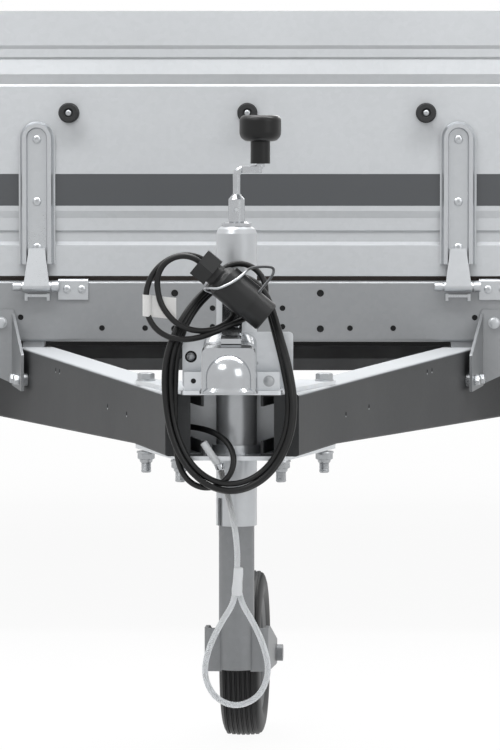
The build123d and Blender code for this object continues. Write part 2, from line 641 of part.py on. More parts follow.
tyre_face = make_face([wall_in, crown_in, crown, crown_out, wall_out, seat])
tyre = turned_x(tyre_face, TYRE_IN, HUB_BACK, TYRE_RADIUS)

DISC_AT = 98.0             # inner face of the wheel disc from the tyre's inner edge
# radius, distance from the tyre's inner edge; barrel with its two flanges
BARREL = [
    (BEAD_R - 4, 15), (BEAD_R + 10, 12), (BEAD_R + 10, BEAD_IN - 3), (BEAD_R, BEAD_IN - 3),
    (BEAD_R, BEAD_IN + 14), (BEAD_R - 14, 50), (BEAD_R - 14, 84), (BEAD_R, 118),
    (BEAD_R, TYRE_WIDTH - BEAD_IN + 3), (BEAD_R + 10, TYRE_WIDTH - BEAD_IN + 3),
    (BEAD_R + 10, TYRE_WIDTH - 12), (BEAD_R - 4, TYRE_WIDTH - 15), (BEAD_R - 4, 120),
    (BEAD_R - 18, 88), (BEAD_R - 18, 48), (BEAD_R - 4, 34),
]
# wheel disc with its dish, from the hub face out to the barrel
DISC = [
    (30, DISC_AT), (62, DISC_AT), (78, DISC_AT + 10), (104, DISC_AT + 14), (128, DISC_AT + 2),
    (BEAD_R - 16.2, DISC_AT - 13), (BEAD_R - 14.5, DISC_AT - 8), (131, DISC_AT + 7),
    (105, DISC_AT + 19), (76, DISC_AT + 15), (60, DISC_AT + 5), (30, DISC_AT + 5),
]
# hub with bearing bore and dust cap
HUB = [
    (STUB_R + 0.06, 44), (36, 44), (36, 86), (66, 90), (66, DISC_AT), (31, DISC_AT),
    (31, DISC_AT + 12), (24, DISC_AT + 14), (24, DISC_AT + 26), (19, DISC_AT + 31),
    (0, DISC_AT + 31), (0, 91), (STUB_R + 0.06, 91),
]
VENTS = 8
rim = turned_x(outline(BARREL), TYRE_IN, HUB_BACK, TYRE_RADIUS)
disc = turned_x(outline(DISC), TYRE_IN, HUB_BACK, TYRE_RADIUS)
for n in range(VENTS):
    a = math.radians(360.0 * n / VENTS)
    disc -= rod_x(15.0, TYRE_IN + 60, TYRE_IN + TYRE_WIDTH, HUB_BACK + 118 * math.cos(a),
                  TYRE_RADIUS + 118 * math.sin(a))
rim = rim + disc + turned_x(outline(HUB), TYRE_IN, HUB_BACK, TYRE_RADIUS)
for name, shape in (("tyre", tyre), ("rim", rim)):
    left, right = both(shape)[::-1]
    save(name + "_left", left)
    save(name + "_right", right)

GUARD_GAP = 62.0           # mudguard over the tyre
GUARD_R = TYRE_RADIUS + GUARD_GAP
GUARD_WALL = 4.0
GUARD_ARC = 172.0
GUARD_OUT = TYRE_WIDTH + 14.0
STAY_BACK = 262.0
guard_line = [
    (GUARD_R - 22, GUARD_OUT), (GUARD_R, GUARD_OUT), (GUARD_R, HALF_W + 4 - TYRE_IN),
    (GUARD_R - 14, HALF_W + 4 - TYRE_IN),
]
guard_face = make_face(offset(FilletPolyline(*guard_line, radius=10.0), amount=GUARD_WALL,
                              side=Side.LEFT))
guard = turned_x(guard_face, TYRE_IN, HUB_BACK, TYRE_RADIUS, GUARD_ARC)
guard_axis = Axis((0, BALL_Y + HUB_BACK, TYRE_RADIUS), (1, 0, 0))
guard = guard.rotate(guard_axis, -GUARD_ARC / 2)
for stay_y in (HUB_BACK - STAY_BACK, HUB_BACK + STAY_BACK):
    stay_z = TYRE_RADIUS + math.sqrt((GUARD_R - 2) ** 2 - STAY_BACK ** 2)
    guard += block(HALF_W, HALF_W + 9, stay_y - 15, stay_y + 15, BEAM_BOTTOM - 12, stay_z)
save("mudguards", both(guard))

# ---------------------------------------------------------------- lamps
BAR_Y = REAR - 46.0
BAR_WALL = 3.0
LAMP_DEPTH = 38.0
bar = block(-HALF_W + 10, HALF_W - 10, BAR_Y, BAR_Y + BAR_WALL, BEAM_BOTTOM - 110, BEAM_BOTTOM)
bar += block(-260, 260, BAR_Y + BAR_WALL, BAR_Y + 7, BEAM_BOTTOM - 120, BEAM_BOTTOM - 4)
save("lamp_bracket", bar)
lamp = block(HALF_W - 240, HALF_W - 30, BAR_Y + BAR_WALL, BAR_Y + BAR_WALL + LAMP_DEPTH,
             BEAM_BOTTOM - 105, BEAM_BOTTOM - 5)
lamp = fillet(lamp.edges().filter_by(Axis.Y), 10.0)
marker = block(HALF_W - 60, HALF_W - 10, FRONT - 12, FRONT, BEAM_BOTTOM + 10, BEAM_BOTTOM + 60)
marker = fillet(marker.edges().filter_by(Axis.Y), 6.0)
save("lamps", both(lamp) + both(marker))

# ---------------------------------------------------------------- jockey wheel
TUBE_BORE = JOCKEY_RADIUS - JOCKEY_WALL
TUBE_NECK = 18.0
NOTCH_WIDE = 9.0
NOTCH_HIGH = 33.0
NOTCH_TURN = 54.0          # notches of the fork's locked place, from straight ahead
tube_face = outline([
    (TUBE_BORE, TUBE_BOTTOM), (JOCKEY_RADIUS, TUBE_BOTTOM), (JOCKEY_RADIUS, TUBE_TOP - 8),
    (JOCKEY_RADIUS - 2, TUBE_TOP - 3), (TUBE_NECK, TUBE_TOP), (8.5, TUBE_TOP),
    (8.5, TUBE_TOP - 8), (TUBE_BORE, TUBE_TOP - 12),
])
outer_tube = turned_z(tube_face, JX, JY)
notch = Box(NOTCH_WIDE, 3 * JOCKEY_RADIUS, 2 * NOTCH_HIGH)
outer_tube -= Pos(JX, BALL_Y + JY, TUBE_BOTTOM) * Rot(0, 0, -NOTCH_TURN) * notch
save("jockey_tube", outer_tube)

CRANK_ARM = 28.0           # grip beside the spindle
CRANK_RISE = 67.0          # bar above the tube's top
ROD_R = 4.4
SPINDLE_R = 8.0
GRIP_X = JX + CRANK_ARM
CRANK_Z = TUBE_TOP + CRANK_RISE
GRIP_TOP = CRANK_Z + 64.0
sleeve = outline([
    (0, 330), (SPINDLE_R, 330), (SPINDLE_R, TUBE_TOP + SLIP), (17.4, TUBE_TOP + SLIP),
    (17.4, TUBE_TOP + 4), (9.7, TUBE_TOP + 6), (9.7, TUBE_TOP + 32), (ROD_R, TUBE_TOP + 38),
    (0, TUBE_TOP + 38),
])
crank = turned_z(sleeve, JX, JY)
crank -= rod_y(2.6, JY - 20, JY + 20, JX, TUBE_TOP + 19)
crank_line = FilletPolyline(at_point(JX, JY, TUBE_TOP + 30), at_point(JX, JY, CRANK_Z),
                            at_point(GRIP_X, JY, CRANK_Z), at_point(GRIP_X, JY, GRIP_TOP - 8),
                            radius=7.0)
crank += sweep(Plane(origin=crank_line @ 0, z_dir=crank_line % 0) * Circle(ROD_R), path=crank_line)
crank += draw_z(outline([(JX + 6, JY - 7), (GRIP_X + 2, JY - 7), (GRIP_X + 2, JY + 7),
                         (JX + 6, JY + 7)], 4.0), CRANK_Z - 4, CRANK_Z + 4)
crank += rod_z(5.2, CRANK_Z + 3, CRANK_Z + 6.5, GRIP_X, JY)
save("jockey_crank", crank)

GRIP_R = 24.6
NECK_R = 11.6
GRIP_LOW = CRANK_Z + 7.0
head = rod_z(GRIP_R, GRIP_TOP - 31, GRIP_TOP, GRIP_X, JY)
head = fillet(head.edges().filter_by(GeomType.CIRCLE).sort_by(Axis.Z)[-1], 7.0)
head = fillet(head.edges().filter_by(GeomType.CIRCLE).sort_by(Axis.Z)[0], 11.0)
grip = head + rod_z(NECK_R, GRIP_LOW, GRIP_TOP - 25, GRIP_X, JY)
grip -= rod_z(ROD_R + SLIP, GRIP_LOW - 1, GRIP_TOP - 7.5, GRIP_X, JY)
save("jockey_grip", grip)

LEG_TOP = 440.0
NUT_HIGH = 30.0
nut = rod_z(19, LEG_TOP, LEG_TOP + NUT_HIGH, JX, JY)
nut -= rod_z(SPINDLE_R + SLIP, LEG_TOP - 1, LEG_TOP + NUT_HIGH + 1, JX, JY)
save("jockey_nut", nut)

caster_axis = Pos(JX, BALL_Y + JY, 0)


def cast(shape):
    """Turn a caster piece by the angle at which it stands."""
    return caster_axis * Rot(0, 0, CASTER_TURN) * Pos(-JX, -BALL_Y - JY, 0) * shape


WY = JY + CASTER_TRAIL
WZ = JOCKEY_WHEEL_RADIUS
LEG_BORE = LEG_RADIUS - 3.5
LEG_LOW = WZ - 4.0
FORK_HALF = JOCKEY_WHEEL_WIDTH / 2 + 11.5
FORK_WALL = 4.5
FORK_TOP = WZ + 45.0
FORK_AXLE_R = 6.0
leg = rod_z(LEG_RADIUS, LEG_LOW, LEG_TOP, JX, JY)
leg -= rod_z(LEG_BORE, LEG_LOW + 4, LEG_TOP + 1, JX, JY)
fork_side = outline([
    (JY - 14, FORK_TOP), (JY + 24, FORK_TOP), (WY + 16, WZ + 15), (WY + 16, WZ - 15),
    (JY - 14, LEG_LOW - 2),
], 6.0)
cheek_line = [
    (JX + 17, JY - 9), (JX + FORK_HALF, JY - 9), (JX + FORK_HALF, WY + 20),
]
cheek_face = make_face(offset(FilletPolyline(*cheek_line, radius=8.0), amount=FORK_WALL,
                              side=Side.LEFT))
cheek = draw_z(cheek_face, LEG_LOW - 10, FORK_TOP + 5)
cheek &= draw_x(fork_side, JX, JX + FORK_HALF + 5)
cheek_other = mirror(cheek, about=Plane.YZ.offset(JX))
for wing in (cheek, cheek_other):
    leg += wing - rod_z(LEG_BORE, LEG_LOW - 20, LEG_TOP, JX, JY)
leg += rod_x(FORK_AXLE_R, JX - FORK_HALF + 1, JX + FORK_HALF - 1, WY, WZ)
for side in (-1, 1):
    leg += rod_x(10, JX + side * FORK_HALF, JX + side * (FORK_HALF + 8), WY, WZ)
save("jockey_fork", cast(leg))

JW_RIM_R = 68.0
JW = JOCKEY_WHEEL_WIDTH
# radius, distance across the wheel
JW_TYRE = [
    (JW_RIM_R, 6), (WZ - 18, 0), (WZ - 7, 3), (WZ - 1.5, 11), (WZ, 20), (WZ, JW - 20),
    (WZ - 1.5, JW - 11), (WZ - 7, JW - 3), (WZ - 18, JW), (JW_RIM_R, JW - 6),
]
JW_HUB = FORK_AXLE_R + 0.06
JW_RIM = [
    (JW_HUB, 4), (17, 4), (19, JW / 2 - 4), (34, JW / 2 - 4), (52, JW / 2 - 7), (58, 9),
    (JW_RIM_R, 6), (JW_RIM_R, JW - 6), (58, JW - 9), (52, JW / 2 + 7), (34, JW / 2 + 4),
    (19, JW / 2 + 4), (17, JW - 4), (JW_HUB, JW - 4),
]
JW_HOLES = 6
jockey_rim = turned_x(outline(JW_RIM), JX - JW / 2, WY, WZ)
for n in range(JW_HOLES):
    a = math.radians(360.0 * n / JW_HOLES)
    jockey_rim -= rod_x(6.5, JX - JW, JX + JW, WY + 42 * math.cos(a), WZ + 42 * math.sin(a))
save("jockey_tyre", cast(turned_x(outline(JW_TYRE), JX - JW / 2, WY, WZ)))
save("jockey_rim", cast(jockey_rim))

# ---------------------------------------------------------------- plug, cable and rope
PLUG_A = (-37.6, 40.0, 581.4)
PLUG_B = (40.8, 40.0, 516.4)
PLUG_R = 20.0
# distance from the gland end, radius
PLUG_TURNED = [
    (20, 12.8), (28, 13.5), (32, 18), (36, PLUG_R), (78, PLUG_R), (78, 18.5), (100, 18.5),
]
plug_line = at_point(*PLUG_B) - at_point(*PLUG_A)
plug_plane = Plane(origin=at_point(*PLUG_A), x_dir=(0, 1, 0), z_dir=plug_line)
gland = extrude(plug_plane * RegularPolygon(19.6, 6), 21)
side_plane = Plane(origin=at_point(*PLUG_A), x_dir=plug_line, z_dir=(0, 1, 0))
turned_part = [(PLUG_TURNED[0][0], 0)] + PLUG_TURNED + [(plug_line.length, 17)]
turned_part += [(plug_line.length, 0)]
plug = gland + revolve(side_plane * outline(turned_part), Axis(at_point(*PLUG_A), plug_line))
KEY_FROM = 38.0            # key along the plug's upper side
plug += extrude(plug_plane.offset(KEY_FROM) * Pos(0, PLUG_R) * Rectangle(9, 5), 38)
save("plug", plug)


def middle(a, b):
    return tuple((u + v) / 2 for u, v in zip(a, b))


def closed_ring(name, points, radius):
    """Closed ring as two halves that meet in the middle of straight runs."""
    half = len(points) // 2
    start = middle(points[-1], points[0])
    turn = middle(points[half - 1], points[half])
    one = [start] + points[:half] + [turn]
    two = [turn] + points[half:] + [start]
    ring = tube_along(name, one, corner_radii(one), radius)
    return ring + tube_along(name, two, corner_radii(two), radius)


COIL = [
    (0, 41, 320), (-28, 41, 325.5), (-52, 44, 348), (-68, 47, 384), (-73, 49, 430),
    (-70.5, 52, 477), (-54, 60, 514), (-33, 74, 546), (-12, 87, 568), (18, 90, 572),
    (34, 80, 552), (45, 66, 513), (62, 52, 470), (69.5, 46, 420), (62, 42, 371), (37, 41, 332),
]
COIL_R = 6.0               # three turns side by side
coil = closed_ring("coil", COIL, COIL_R)
save("cable_coil", coil)

SMALL_COIL = [
    (1, 58.5, 517), (-16, 46, 505.5), (-38, 41, 498), (-60, 41, 497.5), (-80, 43, 507),
    (-91, 45, 526), (-91.5, 46, 551), (-81, 46, 572), (-62, 50, 586.5), (-44, 63, 586.5),
    (-28, 68.5, 577), (-12, 71, 563), (0, 69.5, 547), (5, 64, 531),
]
SMALL_COIL_R = 5.5         # two turns side by side
loops = closed_ring("loops", SMALL_COIL, SMALL_COIL_R)
save("cable_loops", loops)

CABLE_R = 3.5
CABLE = [
    (-87.5, 110, 388), (-57.5, 107.6, 388), (-38, 92, 391), (-20, 72, 389), (-6, 58, 381),
    (2, 48, 367), (2, 42, 351), (-4, 40, 337), (-13, 40.5, 323),
]
lead = tube_along("cable", CABLE, corner_radii(CABLE), CABLE_R)
save("cable_lead", lead - mirror(arm, about=Plane.YZ) - coil)

TAIL_RUN = 7.0             # straight out of the gland
plug_way = plug_line.normalized()
TAIL = [
    PLUG_A, (PLUG_A[0] - TAIL_RUN * plug_way.X, PLUG_A[1], PLUG_A[2] - TAIL_RUN * plug_way.Z),
    (-60, 40, 589), (-77, 45.5, 577),
]
BRIDGE = [(37.4, 75.7, 540), (25, 72, 532), (5, 64, 531)]
tail = tube_along("tail", TAIL, corner_radii(TAIL), CABLE_R)
bridge = tube_along("bridge", BRIDGE, corner_radii(BRIDGE), CABLE_R)
save("cable_tail", [tail - loops, bridge - coil - loops])

ROPE = [(-14, 61, 340), (-5, 62, 308), (3, 63, 272), (6, 64, 245), (6, 64, 222)]
save("rope_lead", tube_along("rope", ROPE, corner_radii(ROPE), 4.0))
ferrule = rod_z(7.6, 192, 222, 6, 64)
LOOP = [
    (1.8, 64, 192), (1.8, 64, 180), (-13, 64, 158), (-27, 64, 130), (-34, 64, 98),
    (-22, 64, 70), (4, 64, 58), (32, 64, 70), (44, 64, 100), (37, 64, 132), (24, 64, 160),
    (10.2, 64, 180), (10.2, 64, 192),
]
save("rope_loop", tube_along("loop", LOOP, corner_radii(LOOP), 4.0))
ANCHOR = ((-33.5, 67.5, 369), (-14, 61, 340))
anchor_line = at_point(*ANCHOR[1]) - at_point(*ANCHOR[0])
anchor = extrude(Plane(origin=at_point(*ANCHOR[0]), z_dir=anchor_line) * Circle(4.5),
                 anchor_line.length - 2)
save("rope_fittings", [ferrule, anchor - plate_bottom])
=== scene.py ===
import json
import math

import bpy
import bmesh
from mathutils import Matrix, Vector


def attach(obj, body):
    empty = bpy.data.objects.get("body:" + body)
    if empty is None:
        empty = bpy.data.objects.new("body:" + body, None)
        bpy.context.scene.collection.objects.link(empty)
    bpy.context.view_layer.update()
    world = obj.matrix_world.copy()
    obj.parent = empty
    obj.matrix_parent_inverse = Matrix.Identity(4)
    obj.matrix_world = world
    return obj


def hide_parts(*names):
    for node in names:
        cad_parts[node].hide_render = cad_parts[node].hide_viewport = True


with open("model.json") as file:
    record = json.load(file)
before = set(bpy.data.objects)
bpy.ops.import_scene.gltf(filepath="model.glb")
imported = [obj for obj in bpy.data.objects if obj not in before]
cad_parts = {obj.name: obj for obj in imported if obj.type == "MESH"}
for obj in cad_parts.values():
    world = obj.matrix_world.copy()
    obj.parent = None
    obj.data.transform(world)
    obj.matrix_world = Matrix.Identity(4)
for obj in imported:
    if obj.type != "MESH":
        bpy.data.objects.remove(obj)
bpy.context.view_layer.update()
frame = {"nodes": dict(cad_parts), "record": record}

# Metres, in the frame of the CAD model: X is the width, +Y the rear, +Z up.  Lengths
# along the trailer are written behind the ball centre, which lies at BALL_Y.
MM = 0.001
BALL_Y = -1.7475


def at(x, back, z):
    """Point from millimetres, the middle one behind the ball centre."""
    return Vector((x * MM, BALL_Y + back * MM, z * MM))


# ---------------------------------------------------------------- camera
CAMERA_AT = (0.107, BALL_Y - 5.075, 0.751)
SENSOR_WIDTH = 36.0        # mm
CAMERA_LENS = 211.9        # mm
CAMERA_PITCH = 3.37        # degrees below level
CAMERA_YAW = 0.96          # degrees to the left
CLIP_END = 60.0


def add_camera():
    data = bpy.data.cameras.new("camera")
    data.lens = CAMERA_LENS
    data.sensor_width = SENSOR_WIDTH
    data.clip_end = CLIP_END
    camera = bpy.data.objects.new("camera", data)
    camera.location = CAMERA_AT
    camera.rotation_euler = (math.radians(90.0 - CAMERA_PITCH), 0.0, math.radians(CAMERA_YAW))
    bpy.context.collection.objects.link(camera)
    bpy.context.scene.camera = camera


# ---------------------------------------------------------------- light and stage
# name, place, target, width and height of the lamp, watts
LIGHTS = [
    ("brow", (0.0, -1.55, 2.1), (0.0, -0.65, 0.85), (2.8, 0.35), 45.0),
    ("key", (-2.6, -5.2, 4.6), (0.0, -0.6, 0.6), (2.6, 1.6), 85.0),
    ("fill", (3.4, -5.0, 2.2), (0.0, -0.6, 0.5), (2.4, 2.4), 40.0),
    ("top", (0.0, 0.4, 4.4), (0.0, 0.2, 0.5), (3.0, 4.5), 110.0),
    ("rear", (1.5, 6.0, 2.8), (0.0, 1.0, 0.5), (3.0, 1.6), 80.0),
]
WORLD_LEVEL = 0.32
WHITE = (1.0, 1.0, 1.0, 1.0)


def area_light(name, place, target, size, power):
    data = bpy.data.lights.new(name, "AREA")
    data.shape = "RECTANGLE"
    data.size, data.size_y = size
    data.energy = power
    light = bpy.data.objects.new(name, data)
    light.location = place
    aim = Vector(target) - Vector(place)
    light.rotation_euler = aim.to_track_quat("-Z", "Y").to_euler()
    bpy.context.collection.objects.link(light)


def add_lights():
    for light in LIGHTS:
        area_light(*light)


def joined(tree, operation, a, b):
    """Outcome of a math node over two sockets."""
    made = tree.nodes.new("ShaderNodeMath")
    made.operation = operation
    tree.links.new(a, made.inputs[0])
    tree.links.new(b, made.inputs[1])
    return made.outputs[0]


def backdrop_ray(tree):
    """1 on rays from the camera, mirrors and glass, which see the white backdrop."""
    path = tree.nodes.new("ShaderNodeLightPath")
    mirrored = joined(tree, "MAXIMUM", path.outputs["Is Glossy Ray"],
                      path.outputs["Is Transmission Ray"])
    return joined(tree, "MAXIMUM", path.outputs["Is Camera Ray"], mirrored)


def add_world():
    """Grey studio light; the camera and mirrors see white."""
    world = bpy.data.worlds.new("studio")
    bpy.context.scene.world = world
    world.use_nodes = True
    tree = world.node_tree
    tree.nodes.clear()
    out = tree.nodes.new("ShaderNodeOutputWorld")
    lit = tree.nodes.new("ShaderNodeBackground")
    lit.inputs["Color"].default_value = WHITE
    lit.inputs["Strength"].default_value = WORLD_LEVEL
    seen = tree.nodes.new("ShaderNodeBackground")
    seen.inputs["Color"].default_value = WHITE
    seen.inputs["Strength"].default_value = 1.0
    mix = tree.nodes.new("ShaderNodeMixShader")
    tree.links.new(backdrop_ray(tree), mix.inputs["Fac"])
    tree.links.new(lit.outputs[0], mix.inputs[1])
    tree.links.new(seen.outputs[0], mix.inputs[2])
    tree.links.new(mix.outputs[0], out.inputs["Surface"])


STAGE_HALF = 14.0
# distances from the middle between which the floor fades, and how white it is at the first
STAGE_FADE = (2.2, 5.5)
STAGE_GLOW = 0.945
STAGE_COLOUR = (0.88, 0.88, 0.88, 1.0)


def add_floor():
    """Pale floor that keeps the shadow near the trailer and fades to the backdrop's white."""
    mesh = bpy.data.meshes.new("floor_stage")
    corners = [(-STAGE_HALF, -STAGE_HALF, 0), (STAGE_HALF, -STAGE_HALF, 0),
               (STAGE_HALF, STAGE_HALF, 0), (-STAGE_HALF, STAGE_HALF, 0)]
    mesh.from_pydata(corners, [], [(0, 1, 2, 3)])
    floor = bpy.data.objects.new("floor_stage", mesh)
    bpy.context.collection.objects.link(floor)
    mat = bpy.data.materials.new("floor_white")
    mat.use_nodes = True
    tree = mat.node_tree
    tree.nodes.clear()
    out = tree.nodes.new("ShaderNodeOutputMaterial")
    matt = tree.nodes.new("ShaderNodeBsdfDiffuse")
    matt.inputs["Color"].default_value = STAGE_COLOUR
    glow = tree.nodes.new("ShaderNodeEmission")
    glow.inputs["Color"].default_value = WHITE
    glow.inputs["Strength"].default_value = 1.0
    place = tree.nodes.new("ShaderNodeTexCoord")
    reach = tree.nodes.new("ShaderNodeVectorMath")
    reach.operation = "LENGTH"
    fade = tree.nodes.new("ShaderNodeMapRange")
    fade.inputs["From Min"].default_value = STAGE_FADE[0]
    fade.inputs["From Max"].default_value = STAGE_FADE[1]
    fade.inputs["To Min"].default_value = STAGE_GLOW
    mix = tree.nodes.new("ShaderNodeMixShader")
    tree.links.new(place.outputs["Object"], reach.inputs[0])
    tree.links.new(reach.outputs["Value"], fade.inputs["Value"])
    seen = joined(tree, "MULTIPLY", fade.outputs["Result"], backdrop_ray(tree))
    tree.links.new(seen, mix.inputs["Fac"])
    tree.links.new(matt.outputs[0], mix.inputs[1])
    tree.links.new(glow.outputs[0], mix.inputs[2])
    tree.links.new(mix.outputs[0], out.inputs["Surface"])
    mesh.materials.append(mat)


# ---------------------------------------------------------------- materials
NOISE_ROUGHNESS = 0.55


class Shader:
    """A principled material with a few helpers for its node tree."""

    def __init__(self, name, colour, rough, metal=0.0):
        self.mat = bpy.data.materials.new(name)
        self.mat.use_nodes = True
        self.tree = self.mat.node_tree
        self.bsdf = self.tree.nodes["Principled BSDF"]
        self.bsdf.inputs["Base Color"].default_value = (*colour, 1.0)
        self.bsdf.inputs["Roughness"].default_value = rough
        self.bsdf.inputs["Metallic"].default_value = metal
        self.name = name
        self.mat.diffuse_color = (*colour, 1.0)
        self.place = self.node("ShaderNodeTexCoord").outputs["Object"]
        self.height = None

    def node(self, kind, **inputs):
        made = self.tree.nodes.new(kind)
        for key, value in inputs.items():
            made.inputs[key.replace("_", " ")].default_value = value
        return made

    def link(self, a, b):
        self.tree.links.new(a, b)

    def stretched(self, scale):
        mapping = self.node("ShaderNodeMapping")
        mapping.inputs["Scale"].default_value = scale
        self.link(self.place, mapping.inputs["Vector"])
        return mapping.outputs["Vector"]

    def noise(self, scale, detail, stretch=None):
        made = self.node("ShaderNodeTexNoise", Scale=scale, Detail=detail,
                         Roughness=NOISE_ROUGHNESS)
        source = self.place if stretch is None else self.stretched(stretch)
        self.link(source, made.inputs["Vector"])
        return made.outputs["Fac"]

    def cells(self, scale):
        made = self.node("ShaderNodeTexVoronoi", Scale=scale)
        self.link(self.place, made.inputs["Vector"])
        return made.outputs["Color"]

    def ramp(self, value, low, high, a=0.0, b=1.0):
        made = self.node("ShaderNodeMapRange")
        made.inputs["From Min"].default_value = low
        made.inputs["From Max"].default_value = high
        made.inputs["To Min"].default_value = a
        made.inputs["To Max"].default_value = b
        self.link(value, made.inputs["Value"])
        return made.outputs["Result"]

    def axis(self, letter):
        """Place along one axis, in metres."""
        split = self.node("ShaderNodeSeparateXYZ")
        self.link(self.place, split.inputs[0])
        return split.outputs[letter]

    def sum(self, a, b, share=1.0):
        """a plus a share of b."""
        made = self.node("ShaderNodeMath")
        made.operation = "MULTIPLY_ADD"
        self.link(b, made.inputs[0])
        made.inputs[1].default_value = share
        self.link(a, made.inputs[2])
        return made.outputs[0]

    def times(self, a, b):
        return joined(self.tree, "MULTIPLY", a, b)

    def mixed(self, share, a, b):
        """Colour a where share is 0 and b where it is 1; a and b are colours or sockets."""
        made = self.node("ShaderNodeMix")
        made.data_type = "RGBA"
        self.link(share, made.inputs["Factor"])
        for socket, value in ((made.inputs[6], a), (made.inputs[7], b)):
            if isinstance(value, tuple):
                socket.default_value = (*value, 1.0)
            else:
                self.link(value, socket)
        return made.outputs[2]

    def coloured_by(self):
        """Socket that gives the base colour so far."""
        return self.bsdf.inputs["Base Color"].links[0].from_socket

    def set_colour(self, socket):
        self.link(socket, self.bsdf.inputs["Base Color"])

    def set_rough(self, socket):
        self.link(socket, self.bsdf.inputs["Roughness"])

    def bump(self, socket, depth, strength):
        made = self.node("ShaderNodeBump", Strength=strength, Distance=depth)
        self.link(socket, made.inputs["Height"])
        if self.height is not None:
            self.link(self.height, made.inputs["Normal"])
        self.height = made.outputs["Normal"]
        self.link(self.height, self.bsdf.inputs["Normal"])


def grey(level):
    """Slightly cool grey."""
    return (level * 0.967, level, level * 1.034)


# scales of the noise patterns; a higher one is finer
CLOUDS = 3.2
CRYSTALS = 150.0
GRAIN = 900.0
STREAKS = 60.0
# rolling marks run across the sheet
ROLLED = (1.0, 1.0, 12.0)
GRAIN_BUMP = 0.00005
CRYSTAL_BUMP = 0.00003


def zinc(name, level, rough, metal, spangle=0.05, rolled=None, grain_depth=1.0):
    """Zinc: soft clouds, faint crystal cells and fine grain; rolled sheet has streaks too."""
    s = Shader(name, grey(level), rough, metal)
    clouds = s.noise(CLOUDS, 3.0)
    cells = s.cells(CRYSTALS)
    grain = s.noise(GRAIN, 2.0)
    cell_value = s.node("ShaderNodeSeparateColor")
    s.link(cells, cell_value.inputs[0])
    mottle = s.sum(clouds, cell_value.outputs[0], 0.35)
    if rolled is not None:
        mottle = s.sum(mottle, s.noise(STREAKS, 3.0, rolled), 0.3)
    tone = s.ramp(mottle, 0.35, 1.0 if rolled is None else 1.3)
    s.set_colour(s.mixed(tone, grey(level * (1 - spangle)), grey(level * (1 + spangle))))
    s.set_rough(s.ramp(s.sum(clouds, grain, 0.4), 0.35, 0.95, rough - 0.05, rough + 0.07))
    s.bump(grain, GRAIN_BUMP, 0.35 * grain_depth)
    s.bump(cell_value.outputs[0], CRYSTAL_BUMP, 0.3 * grain_depth)
    return s


# how far a face looks up where the painted light starts to make it pale and where it is palest
PAINTED_LIGHT_FACING = (0.35, 0.8)
DULL_GLOSS = 0.1


def zinc_painted_lit_from_above(name, level, painted_top_level, rough, metal):
    """Dull zinc with painted light and shade: faces that look up are painted pale as if lit from
    above, upright ones dark.
    """
    s = zinc(name, level, rough, metal, 0.06)
    base = s.coloured_by()
    facing_up = s.node("ShaderNodeSeparateXYZ")
    s.link(s.node("ShaderNodeNewGeometry").outputs["Normal"], facing_up.inputs[0])
    painted_light_share = s.ramp(facing_up.outputs["Z"], *PAINTED_LIGHT_FACING)
    s.set_colour(s.mixed(painted_light_share, base, grey(painted_top_level)))
    s.bsdf.inputs["Specular IOR Level"].default_value = DULL_GLOSS
    return s


STRIPE_Z = (0.624, 0.669)
STRIPE_GREY = (0.045, 0.048, 0.052)
STRIPE_EDGE = 0.0004
SKIN = 0.0005


def striped_zinc(name, level, rough, metal, front_y):
    """Board sheet whose outer face carries one dark, bare stripe."""
    s = zinc(name, level, rough, metal, rolled=ROLLED)
    base = s.coloured_by()
    low, high = STRIPE_Z
    above = s.ramp(s.axis("Z"), low, low + STRIPE_EDGE)
    below = s.ramp(s.axis("Z"), high - STRIPE_EDGE, high, 1.0, 0.0)
    outside = s.ramp(s.axis("Y"), front_y, front_y + SKIN, 1.0, 0.0)
    mask = s.times(s.times(above, below), outside)
    s.set_colour(s.mixed(mask, base, STRIPE_GREY))
    s.link(s.ramp(mask, 0.0, 1.0, metal, 0.0), s.bsdf.inputs["Metallic"])
    return s


BLACK_GLOSS = 0.3
BLACK_CLOUDS = 14.0
BLACK_BUMP = 0.00006
PAINT_CLOUDS = 11.0
PAINT_GRAIN = 500.0
PAINT_BUMP = 0.00003


def black(name, level, rough, grain=700.0):
    """Black plastic, paint or rubber with a fine grain and an uneven tone."""
    s = Shader(name, grey(level), rough)
    clouds = s.noise(BLACK_CLOUDS, 4.0)
    s.set_colour(s.mixed(s.ramp(clouds, 0.35, 0.75), grey(level * 0.85), grey(level * 1.25)))
    fine = s.noise(grain, 2.0)
    s.set_rough(s.ramp(clouds, 0.3, 0.8, rough - 0.05, rough + 0.08))
    s.bump(fine, BLACK_BUMP, 0.4)
    s.bsdf.inputs["Specular IOR Level"].default_value = BLACK_GLOSS
    return s


def painted(name, colour, rough):
    """Plastic, paint or lens in one colour with a slightly uneven tone and fine grain."""
    s = Shader(name, colour, rough)
    clouds = s.ramp(s.noise(PAINT_CLOUDS, 4.0), 0.35, 0.75)
    low = tuple(c * 0.88 for c in colour)
    high = tuple(min(c * 1.1, 0.9) for c in colour)
    s.set_colour(s.mixed(clouds, low, high))
    s.bump(s.noise(PAINT_GRAIN, 2.0), PAINT_BUMP, 0.4)
    return s


PRISM_PITCH = 70.0
PRISM_BUMP = 0.0004
LENS_COAT = 0.6


def lens(name, colour):
    """Lamp lens: glossy, with an upright prism pattern."""
    s = painted(name, colour, 0.12)
    wave = s.node("ShaderNodeTexWave", Scale=PRISM_PITCH)
    s.link(s.place, wave.inputs["Vector"])
    s.bump(wave.outputs["Fac"], PRISM_BUMP, 0.6)
    s.bsdf.inputs["Coat Weight"].default_value = LENS_COAT
    return s


MESH_PITCH = 190.0
MESH_BUMP = 0.0005
FILM_BROWN = (0.050, 0.034, 0.025)


